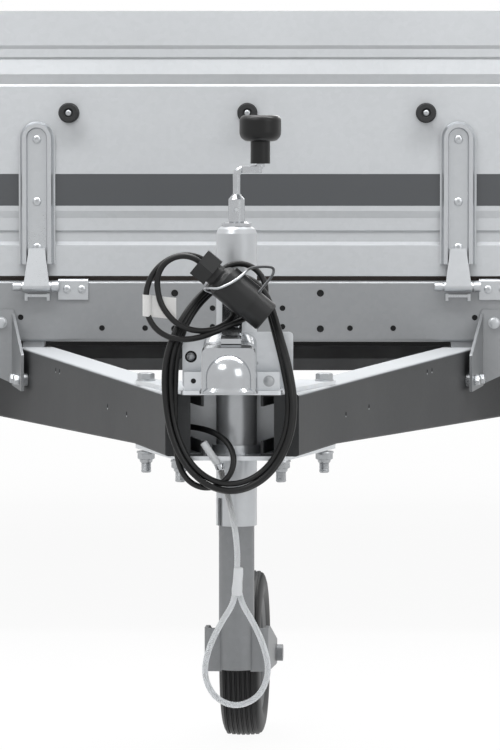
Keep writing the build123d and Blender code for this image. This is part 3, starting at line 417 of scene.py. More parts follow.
def film_plywood():
    """Brown film-faced plywood with the pressed wire-mesh pattern of its top."""
    s = painted("plywood", FILM_BROWN, 0.42)
    turned = s.node("ShaderNodeMapping")
    turned.inputs["Rotation"].default_value = (0.0, 0.0, math.radians(45.0))
    s.link(s.place, turned.inputs["Vector"])
    height = None
    for way in ("X", "Y"):
        wave = s.node("ShaderNodeTexWave", Scale=MESH_PITCH)
        wave.bands_direction = way
        s.link(turned.outputs["Vector"], wave.inputs["Vector"])
        height = wave.outputs["Fac"] if height is None else s.sum(height, wave.outputs["Fac"])
    s.bump(height, MESH_BUMP, 0.5)
    return s


COAT_WHITE = (0.70, 0.72, 0.74)
ROPE_GREY = (0.30, 0.30, 0.30)
# heights between which the rope turns from white to grey
ROPE_GREY_Z = (0.26, 0.335)
ROPE_BUMP = 0.0001


def rope_white():
    """Coated rope, greyer towards its upper end."""
    s = Shader("rope_fibre", COAT_WHITE, 0.42)
    s.set_colour(s.mixed(s.ramp(s.axis("Z"), *ROPE_GREY_Z), COAT_WHITE, ROPE_GREY))
    s.bump(s.noise(GRAIN, 2.0), ROPE_BUMP, 0.4)
    return s


# places across between which the wire turns from bright to dark
BAIL_DARK_X = (0.013, 0.020)


def bail_steel():
    """Spring wire, bright in front of the plug and dark to its right."""
    s = zinc("bail_steel", 0.5, 0.3, 0.9)
    s.set_colour(s.mixed(s.ramp(s.axis("X"), *BAIL_DARK_X), s.coloured_by(), grey(0.07)))
    return s


BOARD_FRONT = BALL_Y + 1.1055


def make_materials():
    """Every material by its name."""
    made = [
        zinc("zinc_sheet", 0.40, 0.38, 0.4, rolled=ROLLED),
        zinc("frame_zinc", 0.25, 0.40, 0.55, rolled=ROLLED),
        zinc("plate_zinc", 0.70, 0.34, 0.7, 0.04),
        zinc("strap_zinc", 0.46, 0.28, 0.85, 0.03),
        # zinc_dull carries painted light and shade: 0.46 on faces that look up, 0.055 on upright
        # ones
        zinc_painted_lit_from_above("zinc_dull", 0.055, 0.46, 0.5, 0.1),
        zinc("bright_zinc", 0.45, 0.2, 0.95, 0.03),
        zinc("tube_zinc", 0.54, 0.34, 0.45, 0.03, grain_depth=0.3),
        zinc("leg_zinc", 0.23, 0.44, 0.4),
        striped_zinc("board", 0.43, 0.36, 0.35, BOARD_FRONT),
        # axle_black's dark grey is painted shade: the axle is made dark to match the shade it
        # sits in under the box; the jockey wheel's rim shares this material
        black("axle_black", 0.11, 0.42),
        zinc("screw_steel", 0.40, 0.3, 0.9),
        film_plywood(),
        black("knob_rubber", 0.016, 0.45),
        black("tyre", 0.015, 0.62),
        black("jockey_rubber", 0.012, 0.45),
        zinc("rim_silver", 0.48, 0.36, 0.7),
        black("guard_plastic", 0.02, 0.55),
        black("lamp_plastic", 0.03, 0.4),
        black("black_plastic", 0.006, 0.36),
        black("plug_plastic", 0.017, 0.40),
        black("cable_sheath", 0.009, 0.34, 300.0),
        rope_white(),
        bail_steel(),
        painted("sleeve_white", COAT_WHITE, 0.30),
        painted("label_white", (0.78, 0.78, 0.77), 0.45),
        painted("plate_white", (0.75, 0.75, 0.73), 0.3),
        lens("lens_red", (0.42, 0.012, 0.012)),
        lens("lens_amber", (0.62, 0.20, 0.01)),
        lens("lens_clear", (0.62, 0.62, 0.62)),
        # dark discs of painted shade in holes and gaps use this material
        black("painted_shade_dark", 0.012, 0.6),
    ]
    return {shader.name: shader for shader in made}


# nodes whose material is not the one of their slot
SPECIAL = {
    "front_board": "board",
    "frame_beams": "frame_zinc",
    "side_rails": "frame_zinc",
    "cross_members": "frame_zinc",
    "frame_brackets": "frame_zinc",
    "drawbar_plates": "plate_zinc",
    "jockey_clamp": "plate_zinc",
    "front_straps": "strap_zinc",
    "tailgate_straps": "strap_zinc",
    "hinge_leaves": "strap_zinc",
    "jockey_tube": "tube_zinc",
    "jockey_fork": "leg_zinc",
    "jockey_rim": "axle_black",
}
EDGE_WIDTH = 0.0007
EDGE_ANGLE = 35.0
SOFT_EDGED = ["frame_beams", "drawbar_plates", "frame_brackets", "jockey_clamp", "front_board",
              "front_straps", "tailgate_straps", "hinge_leaves", "front_latches",
              "tailgate_latches", "coupling_lever", "plug", "jockey_fork", "drawbar_arms"]


def dress_nodes(materials):
    """Every CAD node gets the material of its slot."""
    for part in frame["record"]["subparts"]:
        name = part["node"]
        if name not in frame["nodes"]:
            continue
        node = frame["nodes"][name]
        made = materials[SPECIAL.get(name, part["material_slot"])]
        node.data.materials.clear()
        node.data.materials.append(made.mat)
    for name in SOFT_EDGED:
        edge = frame["nodes"][name].modifiers.new("soft_edges", "BEVEL")
        edge.width = EDGE_WIDTH
        edge.limit_method = "ANGLE"
        edge.angle_limit = math.radians(EDGE_ANGLE)
        edge.segments = 2


# ---------------------------------------------------------------- cords
def nurbs_curve(name, points, resolution):
    """Curve with one open NURBS line of order 3 that meets its end points."""
    curve = bpy.data.curves.new(name, "CURVE")
    curve.dimensions = "3D"
    line = curve.splines.new("NURBS")
    line.points.add(len(points) - 1)
    for control, point in zip(line.points, points):
        control.co = (*point, 1.0)
    line.order_u = 3
    line.use_endpoint_u = True
    line.resolution_u = resolution
    return curve


WIRE_RESOLUTION = 10
WIRE_BEVEL = 5


def round_wire(name, points, radius, mat, body):
    """Piece of round section along a line."""
    curve = nurbs_curve(name, points, WIRE_RESOLUTION)
    curve.bevel_depth = radius
    curve.bevel_resolution = WIRE_BEVEL
    curve.use_fill_caps = True
    piece = bpy.data.objects.new(name, curve)
    bpy.context.collection.objects.link(piece)
    curve.materials.append(mat)
    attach(piece, body)
    return piece


# the lead from the left arm, curling into the innermost turn
CABLE_LEAD = [(-86, 110, 388), (-68, 109, 387), (-50, 103.5, 385), (-35, 91, 383.5),
              (-20.7, 76, 380), (-6.4, 62, 371.6), (2, 52.5, 357.5), (2, 47.5, 341),
              (-6, 47, 326.6), (-20.5, 48, 318), (-36, 49, 317.5), (-49.5, 49, 324.3),
              (-59, 49, 337), (-64, 49, 354.5), (-66, 49.5, 377), (-66.5, 51, 403)]
# one mean turn of the hanging coil from its left side clockwise, and how far the turns
# spread there outwards and in depth
COIL_RING = [(-73, 49, 430, 1.0, 1.0), (-71.5, 51.5, 468, 1.0, 1.0), (-61, 57, 502, 0.7, 1.2),
             (-45, 67, 528, 0.6, 1.3), (-28, 76, 545.5, 0.6, 1.3), (-11, 83.5, 557.5, 0.6, 1.0),
             (6, 87, 560.5, 0.5, 1.0), (22, 86, 556.2, 0.5, 1.0), (35.5, 80.5, 544.6, 0.5, 1.0),
             (44, 72, 525.5, 0.6, 1.2), (52, 62.5, 497, 0.6, 1.4), (62, 52, 460, 0.7, 1.3),
             (69.5, 46, 418, 0.8, 1.1), (64.5, 43, 376, 0.9, 0.7), (44, 41, 339, 1.0, 0.5),
             (13, 41, 320, 1.1, 0.5), (-20, 41, 321, 1.1, 0.6), (-50, 44, 344, 1.0, 0.8),
             (-68, 47, 385, 1.0, 1.0)]
COIL_MIDDLE = (0.0, 447.0)
# turn, outwards, in depth
COIL_LAY = [(0.0, -7.0, 4.0), (1.0, -1.0, 0.0), (2.0, 6.0, -4.0), (2.5, 7.0, -3.0),
            (3.0, 5.0, 4.0), (4.0, 5.0, 4.0)]
COIL_POINTS = 62
# over the top, down behind the plug and round the two turns of the small coil
SMALL_LINE = [(-16, 85.5, 567.5), (-3.8, 88.5, 576), (10.6, 90, 578), (24.4, 89, 573.5),
              (34.8, 85.5, 563), (39.8, 80, 549.5), (37.5, 74, 535.5), (30, 68, 524),
              (18, 62.5, 516), (5, 57, 510),
              (-5, 52.5, 506), (-21, 46, 498.5), (-38, 41.5, 493), (-55, 40, 490.5),
              (-71, 40.5, 492.5), (-86, 42, 500.5), (-96, 44, 513.5), (-100, 46, 530),
              (-99.5, 47, 547.5), (-94, 47, 564), (-83, 47.5, 577.5), (-67.5, 49, 587),
              (-50, 55, 589.5), (-33, 64, 583.5), (-17, 71, 573), (-5, 72, 560),
              (3, 70, 545.5), (5, 66, 530), (1, 60, 516.5), (-9, 53, 507), (-22.5, 47, 501.5),
              (-38, 43, 500.5), (-53, 41.5, 503.5), (-67, 42, 511.5), (-77.5, 43, 524),
              (-83, 43.5, 534.5), (-85.8, 43.3, 546.6), (-86.7, 43, 558.6), (-83.9, 42, 570.5),
              (-76.8, 41, 580.4), (-66.3, 40.3, 586.6), (-54.2, 39.8, 588.3),
              (-42.4, 39.8, 585.2), (-37.6, 40, 581.4)]


def lay_at(turn):
    """Outward and depth offsets of a turn, drawn straight between the rows of the table."""
    for low, high in zip(COIL_LAY, COIL_LAY[1:]):
        if turn <= high[0]:
            share = (turn - low[0]) / (high[0] - low[0])
            return [a + (b - a) * share for a, b in zip(low[1:], high[1:])]
    return COIL_LAY[-1][1:]


def cable_points():
    """Lead, loose turns and small coil in one line; the turns differ in size and fan out."""
    points = [at(*p) for p in CABLE_LEAD]
    for n in range(COIL_POINTS):
        x, back, z, spread, depth = COIL_RING[n % len(COIL_RING)]
        out, deep = lay_at(n / len(COIL_RING))
        way = Vector((x - COIL_MIDDLE[0], z - COIL_MIDDLE[1])).normalized()
        points.append(at(x + way.x * out * spread, back + deep * depth,
                         z + way.y * out * spread))
    points += [at(*p) for p in SMALL_LINE]
    return points


CABLE_D = 0.007


def add_cable(materials):
    points = cable_points()
    cable = round_wire("lighting_cable", points, CABLE_D / 2, materials["cable_sheath"].mat,
                       "chassis")
    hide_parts("cable_lead", "cable_coil", "cable_loops", "cable_tail")


ROPE_LINE = [(-14, 61, 340), (-5, 62, 308), (3, 63, 272), (6, 64, 245), (6, 64, 222),
             (5, 62, 206), (3.4, 61.3, 192), (0, 62, 178), (-13, 64, 158), (-27, 64, 130),
             (-34, 64, 98), (-22, 64, 70), (4, 64, 58), (32, 64, 70), (44, 64, 100),
             (37, 64, 132), (24, 64, 160), (11, 66, 180), (8.4, 66.9, 193)]
STRANDS = 6
STRAND_R = 0.00115
STRAND_OUT = 0.0025        # from the middle of the rope to that of a strand
CORE_R = 0.0019
STRAND_SIDES = 8
LAY_LENGTH = 0.018         # in which a strand goes once round
ROPE_STEP = 0.0011
ROUTE_RESOLUTION = 12


def route_points(points):
    """Points along the NURBS line of a route, spaced ROPE_STEP apart."""
    curve = nurbs_curve("route", points, ROUTE_RESOLUTION)
    holder = bpy.data.objects.new("route", curve)
    mesh = bpy.data.meshes.new_from_object(holder)
    read = [v.co.copy() for v in mesh.vertices]
    bpy.data.objects.remove(holder)
    bpy.data.curves.remove(curve)
    bpy.data.meshes.remove(mesh)
    spaced = [read[0]]
    left = ROPE_STEP
    for a, b in zip(read, read[1:]):
        length = (b - a).length
        while length > left:
            a = a.lerp(b, left / length)
            spaced.append(a)
            length = (b - a).length
            left = ROPE_STEP
        left -= length
    return spaced + [read[-1]]


# across, behind the ball, height, half width, half depth
SLEEVE = [(5.7, 64.1, 190.0, 5.0, 6.6), (5.7, 64.1, 191.0, 6.1, 7.4), (5.7, 64.1, 197, 6.3, 7.4),
          (6.4, 64.0, 206, 5.6, 6.4), (7.2, 64.0, 215, 5.7, 6.0), (7.4, 64.0, 222, 5.4, 5.6),
          (7.3, 64.0, 223, 4.4, 4.6)]
SLEEVE_SIDES = 28
# top, foot, radius
ANCHOR_ROD = ((-33.5, 67.5, 369.0), (-14.0, 61.0, 340.0), 4.4)
ROD_BEVEL = 0.6


def rope_fitting(materials):
    """Rod the rope hangs from and the pressed sleeve that closes its loop."""
    stock = Stock()
    rings = []
    for x, back, z, wide, deep in SLEEVE:
        turns = [math.tau * n / SLEEVE_SIDES for n in range(SLEEVE_SIDES)]
        rings.append([at(x + wide * math.cos(a), back + deep * math.sin(a), z) for a in turns])
    stock.shell(rings, Matrix.Identity(4))
    top, foot, radius = ANCHOR_ROD
    way = Vector(foot) - Vector(top)
    rows = [(0.0, radius - ROD_BEVEL), (ROD_BEVEL, radius), (way.length - ROD_BEVEL, radius),
            (way.length, radius - ROD_BEVEL)]
    stock.turned(facing(*top, way.normalized()), rows, SLEEVE_SIDES)
    fitting = stock.piece("rope_fitting", materials["sleeve_white"], "chassis", "bright_zinc")
    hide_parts("rope_fittings")
    return fitting


def add_rope(materials):
    """Safety rope: strands laid round a core."""
    line = route_points([at(*p) for p in ROPE_LINE])
    stock = Stock()
    side = Vector((0.0, 1.0, 0.0))
    frames = []
    for n, point in enumerate(line):
        along = (line[min(n + 1, len(line) - 1)] - line[max(n - 1, 0)]).normalized()
        side = (side - along * side.dot(along)).normalized()
        frames.append((point, side.copy(), along.cross(side)))
    for strand in range(STRANDS + 1):
        radius = STRAND_R if strand < STRANDS else CORE_R
        offset = STRAND_OUT if strand < STRANDS else 0.0
        rings = []
        for n, (point, u, v) in enumerate(frames):
            turn = math.tau * (n * ROPE_STEP / LAY_LENGTH + strand / STRANDS)
            out = u * math.cos(turn) + v * math.sin(turn)
            centre = point + out * offset
            ring = []
            for m in range(STRAND_SIDES):
                a = math.tau * m / STRAND_SIDES
                ring.append(centre + (u * math.cos(a) + v * math.sin(a)) * radius)
            rings.append(ring)
        stock.shell(rings, Matrix.Identity(4))
    rope = stock.piece("safety_rope", materials["rope_fibre"], "chassis", "rope_fibre", 80.0)
    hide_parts("rope_lead", "rope_loop")
    rope_fitting(materials)


# ---------------------------------------------------------------- stock for small pieces
FRONTWARD = (0.0, -1.0, 0.0)
REARWARD = (0.0, 1.0, 0.0)
UPWARD = (0.0, 0.0, 1.0)
DOWNWARD = (0.0, 0.0, -1.0)


def facing(x, back, z, way):
    """Placing matrix with its own Z along way, for lengths in millimetres."""
    turn = Vector(way).to_track_quat("Z", "Y").to_matrix().to_4x4()
    return Matrix.Translation(at(x, back, z)) @ turn @ Matrix.Scale(MM, 4)


def in_millimetres(back=0):
    """Placing matrix for points in millimetres, unturned."""
    return Matrix.Translation(at(0, back, 0)) @ Matrix.Scale(MM, 4)


# radius to which the corners of a hexagon are turned off, as a share of its width
HEX_ROUND = 0.475
HEX_BEVEL = 0.6


class Stock:
    """Solids that make up one piece."""

    def __init__(self):
        self.mesh = bmesh.new()

    def shell(self, rings, place, wrap=False):
        """Closed skin over rings of equal length; wrap joins the last ring to the first."""
        made = [[self.mesh.verts.new(place @ Vector(p)) for p in ring] for ring in rings]
        count = len(made[0])
        pairs = list(zip(made, made[1:]))
        if wrap:
            pairs.append((made[-1], made[0]))
        for low, high in pairs:
            for n in range(count):
                m = (n + 1) % count
                self.mesh.faces.new((low[n], low[m], high[m], high[n]))
        if not wrap:
            self.mesh.faces.new(made[0][::-1])
            self.mesh.faces.new(made[-1])

    def turned(self, place, profile, sides=24):
        """Turned solid; rows of the profile are distance along the axis and radius."""
        rings = []
        for along, radius in profile:
            ring = []
            for n in range(sides):
                a = math.tau * n / sides
                ring.append((radius * math.cos(a), radius * math.sin(a), along))
            rings.append(ring)
        self.shell(rings, place)

    def hexagon(self, place, flats, low, high):
        """Hexagonal nut or head from low to high, its upper corners turned off."""
        sides = 24
        rings = [[], [], []]
        turned = flats * HEX_ROUND
        for n in range(sides):
            a = math.tau * n / sides
            off = a % (math.pi / 3) - math.pi / 6
            radius = flats / 2 / math.cos(off)
            drop = (radius - turned) * HEX_BEVEL
            for ring, r, z in zip(rings, (radius, radius, min(radius, turned)),
                                  (low, high - drop, high)):
                ring.append((r * math.cos(a), r * math.sin(a), z))
        self.shell(rings, place)

    def piece(self, name, material, body, slot, sharp=35.0):
        """The finished object, smooth except at edges over the sharp angle."""
        bmesh.ops.recalc_face_normals(self.mesh, faces=self.mesh.faces)
        limit = math.radians(sharp)
        for face in self.mesh.faces:
            face.smooth = True
        for edge in self.mesh.edges:
            edge.smooth = len(edge.link_faces) == 2 and edge.calc_face_angle(0.0) < limit
        data = bpy.data.meshes.new(name)
        self.mesh.to_mesh(data)
        self.mesh.free()
        data.materials.append(material.mat)
        made = bpy.data.objects.new(name, data)
        bpy.context.collection.objects.link(made)
        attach(made, body)
        return made


# ---------------------------------------------------------------- fasteners
PAN_HEIGHT = 0.42
PAN_SOCKET = 0.34


def pan_screw(stock, place, radius):
    """Low round head with a driver socket."""
    high = radius * PAN_HEIGHT
    socket = radius * PAN_SOCKET
    stock.turned(place, [(-1.0, radius * 0.5), (0.0, radius), (high * 0.45, radius),
                         (high * 0.85, radius * 0.82), (high, radius * 0.5),
                         (high, socket), (high * 0.35, socket * 0.85), (high * 0.35, 0.05)])


def flange_bolt(stock, place, flats, high):
    """Hexagonal head with its pressed flange."""
    stock.turned(place, [(0.0, flats * 0.62), (1.4, flats * 0.64), (2.6, flats * 0.52)])
    stock.hexagon(place, flats, 1.0, high)


THREAD_PITCH = 1.75
THREAD_DEPTH = 0.55


def stud_nut(stock, place, flats, high, thread, out):
    """Flanged nut with the threaded end of its bolt standing out."""
    stock.turned(place, [(0.0, flats * 0.62), (1.8, flats * 0.64), (4.0, flats * 0.53)])
    stock.hexagon(place, flats, 2.0, high * 0.72)
    stock.turned(place, [(high * 0.7, flats * 0.44), (high * 0.9, flats * 0.42),
                         (high, flats * 0.36)])
    root = thread - THREAD_DEPTH
    rows = [(0.0, root)]
    for n in range(int((out - high) / THREAD_PITCH)):
        start = high + n * THREAD_PITCH
        rows += [(start, root), (start + 0.85, thread)]
    rows += [(out - 0.8, thread - 0.2), (out, thread - 1.2)]
    stock.turned(place, rows)


DECK_Z = 431.0
LOWER_Z = 348.0
# distance from the middle plane, shift to the right, behind the ball, how far the nut sits
# under LOWER_Z, whether its head shows on the deck
DRAWBAR_BOLTS = [(107.5, 0.0, 240, 2.0, True), (59, -2.0, 78, 0.0, False)]
BOLT_FLATS = 18.0
HEAD_HEIGHT = 9.5
NUT_HEIGHT = 14.0
THREAD_R = 6.0
THREAD_OUT = 26.0


def drawbar_bolts(materials):
    stock = Stock()
    for side in (-1, 1):
        for across, shift, back, drop, head in DRAWBAR_BOLTS:
            x = side * across + shift
            if head:
                flange_bolt(stock, facing(x, back, DECK_Z, UPWARD), BOLT_FLATS, HEAD_HEIGHT)
            stud_nut(stock, facing(x, back, LOWER_Z - drop, DOWNWARD), BOLT_FLATS, NUT_HEIGHT,
                     THREAD_R, THREAD_OUT)
    stock.piece("drawbar_bolts", materials["screw_steel"], "chassis", "screw_steel")


UPSTAND_BOLT = (43, 60, 441.5)
UPSTAND_HOLE = (-45, 60, 441.5)
BUTTON_AT = (-49, 96, 468)
PIN_AT = (28, 96, 460.5)


def coupling_fittings(materials):
    """Bolt of one upstand, button and pin of the clamp plate.

    Two dark discs are painted shade, in the hole of the other upstand and in the gap round the
    button.
    """
    stock = Stock()
    bolt = facing(*UPSTAND_BOLT, FRONTWARD)
    stock.turned(bolt, [(0, 6.6), (0.9, 6.6)])
    stock.hexagon(bolt, 9.5, 0.5, 4.2)
    button = facing(*BUTTON_AT, FRONTWARD)
    stock.turned(button, [(0, 4.9), (1.2, 4.9), (2.4, 4.2), (3.0, 2.4), (3.1, 0.1)])
    stock.turned(facing(*PIN_AT, FRONTWARD), [(0, 2.2), (0.7, 2.0), (1.0, 0.2)])
    stock.piece("coupling_fittings", materials["screw_steel"], "chassis", "screw_steel")
    ring = Stock()
    ring.turned(button, [(0.0, 7.0), (0.35, 6.8), (0.4, 0.1)])
    ring.turned(facing(*UPSTAND_HOLE, FRONTWARD), [(0.0, 3.0), (0.15, 2.9), (0.2, 0.1)])
    ring.piece("coupling_shadow_rings", materials["painted_shade_dark"], "chassis", "knob_rubber")


BORE_BACK = 1104.0
BEAM_TOP = 519.0
# across, below the frame's top, radius
BEAM_BORES = [(318.0, 51.0, 4.0), (204.0, 66.0, 4.0), (143.5, 66.0, 4.0), (102.0, 17.0, 5.0),
              (102.0, 67.0, 5.0), (49.0, 38.0, 4.0), (49.0, 64.0, 4.0)]


def beam_bore_shade(materials):
    """Dark discs of painted shade in the open holes of the front beam."""
    stock = Stock()
    for across, down, radius in BEAM_BORES:
        for side in (-1, 1):
            spot = facing(side * across, BORE_BACK, BEAM_TOP - down, FRONTWARD)
            stock.turned(spot, [(0.0, radius + 1.2), (0.3, radius + 1.1), (0.4, 0.1)])
    stock.piece("beam_bore_shade", materials["painted_shade_dark"], "chassis", "knob_rubber")


BRACKET_FACE = 1096.0
BRACKET_BOLT = (345.0, 461.0)
ARM_SLOPE = 0.2317
BRACKET_CORNER_X = 326.7
BRACKET_CORNER_BACK = 1100.0
BRACKET_WALL = 4.2
SPACER_BACK = (1072.0, 1038.0)
SPACER_Z = 384.0
BRACKET_FLATS = 12.6


def bracket_bolts(materials):
    """Bolts through the frame brackets and their packing blocks, with the blocks' sleeves."""
    stock = Stock()
    turn = math.atan(ARM_SLOPE)
    for side in (-1, 1):
        place = facing(side * BRACKET_BOLT[0], BRACKET_FACE, BRACKET_BOLT[1], FRONTWARD)
        stock.turned(place, [(0, 8.2), (1.4, 8.2)])
        stock.hexagon(place, BRACKET_FLATS, 1.0, 6.8)
        way = (side * math.cos(turn), -math.sin(turn), 0.0)
        for back in SPACER_BACK:
            out = BRACKET_CORNER_X + BRACKET_WALL - (BRACKET_CORNER_BACK - back) * ARM_SLOPE
            head = facing(side * out, back, SPACER_Z, way)
            stock.turned(head, [(-4, 5), (0, 7.6), (1.4, 7.6)])
            stock.hexagon(head, BRACKET_FLATS, 1.0, 7.2)
            stock.turned(head, [(-11.8, 8.3), (-11.6, 8.7), (-5.6, 8.7), (-5.4, 8.3)])
    stock.piece("bracket_bolts", materials["strap_zinc"], "chassis", "screw_steel")


STRAP_X = 294.5
MID_BACK = 2300.0
CHANNEL_BACK = 1099.0
STRAP_SCREW_Z = (717.0, 630.0, 566.0)
LEAF_SCREWS = (41.8, 62.5)
LEAF_SCREW_Z = 507.4
LEAF_BACK = 1097.0
KNOB_Z = 754.0
KNOB_X = (-249.0, 0.0, 249.0)
KNOB_RECESS = 1077.0
STRAP_SCREW_R = 6.0
LEAF_SCREW_R = 5.6
KNOB_SCREW_R = 4.2


def turned_end(rear, x, back):
    """Place on the front end, or the same turned end for end."""
    return (-x, 2 * MID_BACK - back, REARWARD) if rear else (x, back, FRONTWARD)


def end_screws(materials):
    """Screws of straps, leaves and knobs on both folding boards."""
    for rear, body in ((False, "front_board_body"), (True, "tailgate_body")):
        name = "tailgate" if rear else "front_board"
        straps = Stock()
        leaves = Stock()
        knobs = Stock()
        for centre in (-STRAP_X, STRAP_X):
            x, back, way = turned_end(rear, centre, CHANNEL_BACK)
            for z in STRAP_SCREW_Z:
                pan_screw(straps, facing(x, back, z, way), STRAP_SCREW_R)
            for off in LEAF_SCREWS:
                x, back, way = turned_end(rear, centre + off, LEAF_BACK)
                pan_screw(leaves, facing(x, back, LEAF_SCREW_Z, way), LEAF_SCREW_R)
        for knob in KNOB_X:
            x, back, way = turned_end(rear, knob, KNOB_RECESS)
            pan_screw(knobs, facing(x, back, KNOB_Z, way), KNOB_SCREW_R)
        straps.piece(name + "_strap_screws", materials["strap_zinc"], body, "screw_steel")
        leaves.piece(name + "_leaf_screws", materials["strap_zinc"], "chassis", "screw_steel")
        knobs.piece(name + "_knob_screws", materials["screw_steel"], body, "screw_steel")


# ---------------------------------------------------------------- rope end, label and bail
RING_AT = (-14.2, 61, 341.2)
RING_WAY = (-0.28, -0.1, 0.95)
RING_ROWS = [(-4.0, 4.4), (-2.6, 5.7), (2.6, 5.8), (3.6, 5.2), (4.0, 3.6)]


def rope_ring(materials):
    """Bright ring where the rope meets its rod."""
    ring = Stock()
    ring.turned(facing(*RING_AT, RING_WAY), RING_ROWS)
    ring.piece("rope_ring", materials["bright_zinc"], "chassis", "bright_zinc")


LABEL_X = (-103.5, -64.5)
LABEL_Z = (516.0, 541.0)
LABEL_BACK = 48.8
LABEL_COLUMNS = 14
# middle and half width of the fold that goes round the cable
FOLD_X = -98.2
FOLD_R = 5.4
LABEL_LEAN = 4.0
LABEL_HALF = 0.5
LABEL_WAVE = 1.1


def cable_label(materials):
    """Blank flag folded round the small coil's outer turn."""
    stock = Stock()
    rings = []
    for n in range(LABEL_COLUMNS + 1):
        share = n / LABEL_COLUMNS
        x = LABEL_X[0] + (LABEL_X[1] - LABEL_X[0]) * share
        low, high = (z + LABEL_LEAN * (0.5 - share) for z in LABEL_Z)
        half = LABEL_HALF + FOLD_R * math.sqrt(max(0.0, 1.0 - ((x - FOLD_X) / FOLD_R) ** 2))
        y = LABEL_BACK - 3.5 + LABEL_WAVE * math.sin(share * 7.0)
        rings.append([(x, y - half, low), (x, y - half, high), (x, y + half, high),
                      (x, y + half, low)])
    stock.shell(rings, in_millimetres())
    stock.piece("cable_label", materials["label_white"], "chassis", "cable_sheath", 60.0)


BAIL_LINE = [(-22, 46, 545), (-31, 41, 548), (-31, 33, 551), (-24, 25, 551.5), (-15, 20, 550.5),
             (-2, 17.4, 556.5), (8, 19, 562.5), (15.5, 26, 569), (19.5, 36, 573), (27, 45, 575),
             (41, 48, 575.5), (49, 48, 574), (48.5, 46, 566.5), (40, 39, 556), (31, 29, 545.5)]
BAIL_R = 1.6


def plug_bail(materials):
    """Spring wire that holds the plug's cap."""
    round_wire("plug_bail", [at(*p) for p in BAIL_LINE], BAIL_R * MM,
               materials["bail_steel"].mat, "chassis")


# ---------------------------------------------------------------- wheels
HUB_BACK = 2375.0
TYRE_RADIUS = 273.5
TYRE_IN = 682.0
TYRE_WIDTH = 155.0
# radius, distance from the tyre's side edge; from the bead out to the shoulder
TYRE_WALL = [(168.0, 20.0), (180.0, 20.0), (184.0, 14.0), (192.0, 7.5), (204.0, 2.5),
             (207.0, 2.2), (208.0, 1.0), (213.0, 0.6), (214.0, 0.2), (226.0, 0.6),
             (240.0, 2.6), (252.0, 5.6), (253.0, 5.0), (257.0, 6.2), (258.0, 7.4),
             (262.0, 9.2), (268.0, 13.0)]
# distance from the tyre's side edge and depth of the tread's rows across half its width
TREAD_ROWS = [(17.0, 1.8), (22.0, 0.5), (36.0, 0.0), (37.2, 6.5), (42.2, 6.5), (43.4, 0.0),
              (62.0, 0.0), (63.2, 6.5), (68.0, 6.5), (69.2, 0.0)]
PITCHES = 56
# share of a pitch where a cross groove starts and ends, and how deep it is
CROSS_GROOVE = (0.08, 0.25)
CROSS_DEPTH = 4.5
GROOVE_RAMP = 0.06


def wheel_body(side):
    return "wheel_left" if side < 0 else "wheel_right"


def tyre_rows(groove):
    """Section of the tyre from bead to bead; groove cuts the blocks."""
    rows = list(TYRE_WALL)
    for across, depth in TREAD_ROWS:
        cut = CROSS_DEPTH if groove and (across < 37 or 43 < across < 63) else 0.0
        rows.append((TYRE_RADIUS - max(depth, cut), across))
    other = [(radius, TYRE_WIDTH - across) for radius, across in rows[::-1]]
    return rows + other


def road_tyre(name, side, material):
    """Tyre with round grooves and a cross groove in every pitch."""
    stock = Stock()
    plain = tyre_rows(False)
    grooved = tyre_rows(True)
    rings = []
    pitch = math.tau / PITCHES
    for n in range(PITCHES):
        for share, rows in ((0.0, plain), (CROSS_GROOVE[0], grooved), (CROSS_GROOVE[1], grooved),
                            (CROSS_GROOVE[1] + GROOVE_RAMP, plain)):
            a = (n + share) * pitch
            rings.append([(side * (TYRE_IN + across), radius * math.cos(a),
                           radius * math.sin(a) + TYRE_RADIUS) for radius, across in rows])
    stock.shell(rings, in_millimetres(HUB_BACK), wrap=True)
    tyre = stock.piece(name + "_tread", material, wheel_body(side), "tyre")
    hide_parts(name)


DISC_OUT = 785.0
LUG_CIRCLE = 49.0
LUGS = 4
LUG_FLATS = 17.0
# outwards from TYRE_IN, above the hub
VALVE_AT = (118.0, 139.0)


def lug_bolts(name, side, materials):
    """Bolts and valve of a road wheel."""
    stock = Stock()
    for n in range(LUGS):
        a = math.tau * (n + 0.5) / LUGS
        head = facing(side * DISC_OUT, HUB_BACK + LUG_CIRCLE * math.cos(a),
                      TYRE_RADIUS + LUG_CIRCLE * math.sin(a), (side, 0, 0))
        stock.turned(head, [(-1.0, 8.0), (0.5, 10.5), (3.0, 9.5)])
        stock.hexagon(head, LUG_FLATS, 2.0, 12.0)
    valve = facing(side * (TYRE_IN + VALVE_AT[0]), HUB_BACK, TYRE_RADIUS + VALVE_AT[1],
                   (side, 0.0, -0.35))
    stock.turned(valve, [(-8, 5.5), (0, 4.5), (4, 3.4), (22, 3.4), (22.5, 4.0), (31, 4.0),
                         (32, 3.0)])
    stock.piece(name, materials["screw_steel"], wheel_body(side), "screw_steel")


JOCKEY_AT = (4.0, 127.0)
CASTER_TRAIL = 128.0
CASTER_TURN = -3.5
JW_R = 100.0
JW_HALF = 26.5
JW_SIDES = 96
# radius and distance from the side, from the rim's seat to the shoulder
JW_WALL = [(68.0, 6.0), (75.0, 2.8), (82.0, 1.8), (89.0, 2.4), (94.0, 4.0), (96.6, 5.6)]
JW_GROOVES = 7
JW_GROOVE_DEEP = 1.6
JW_SHOULDER = 6.5
JW_CROWN = 1.4


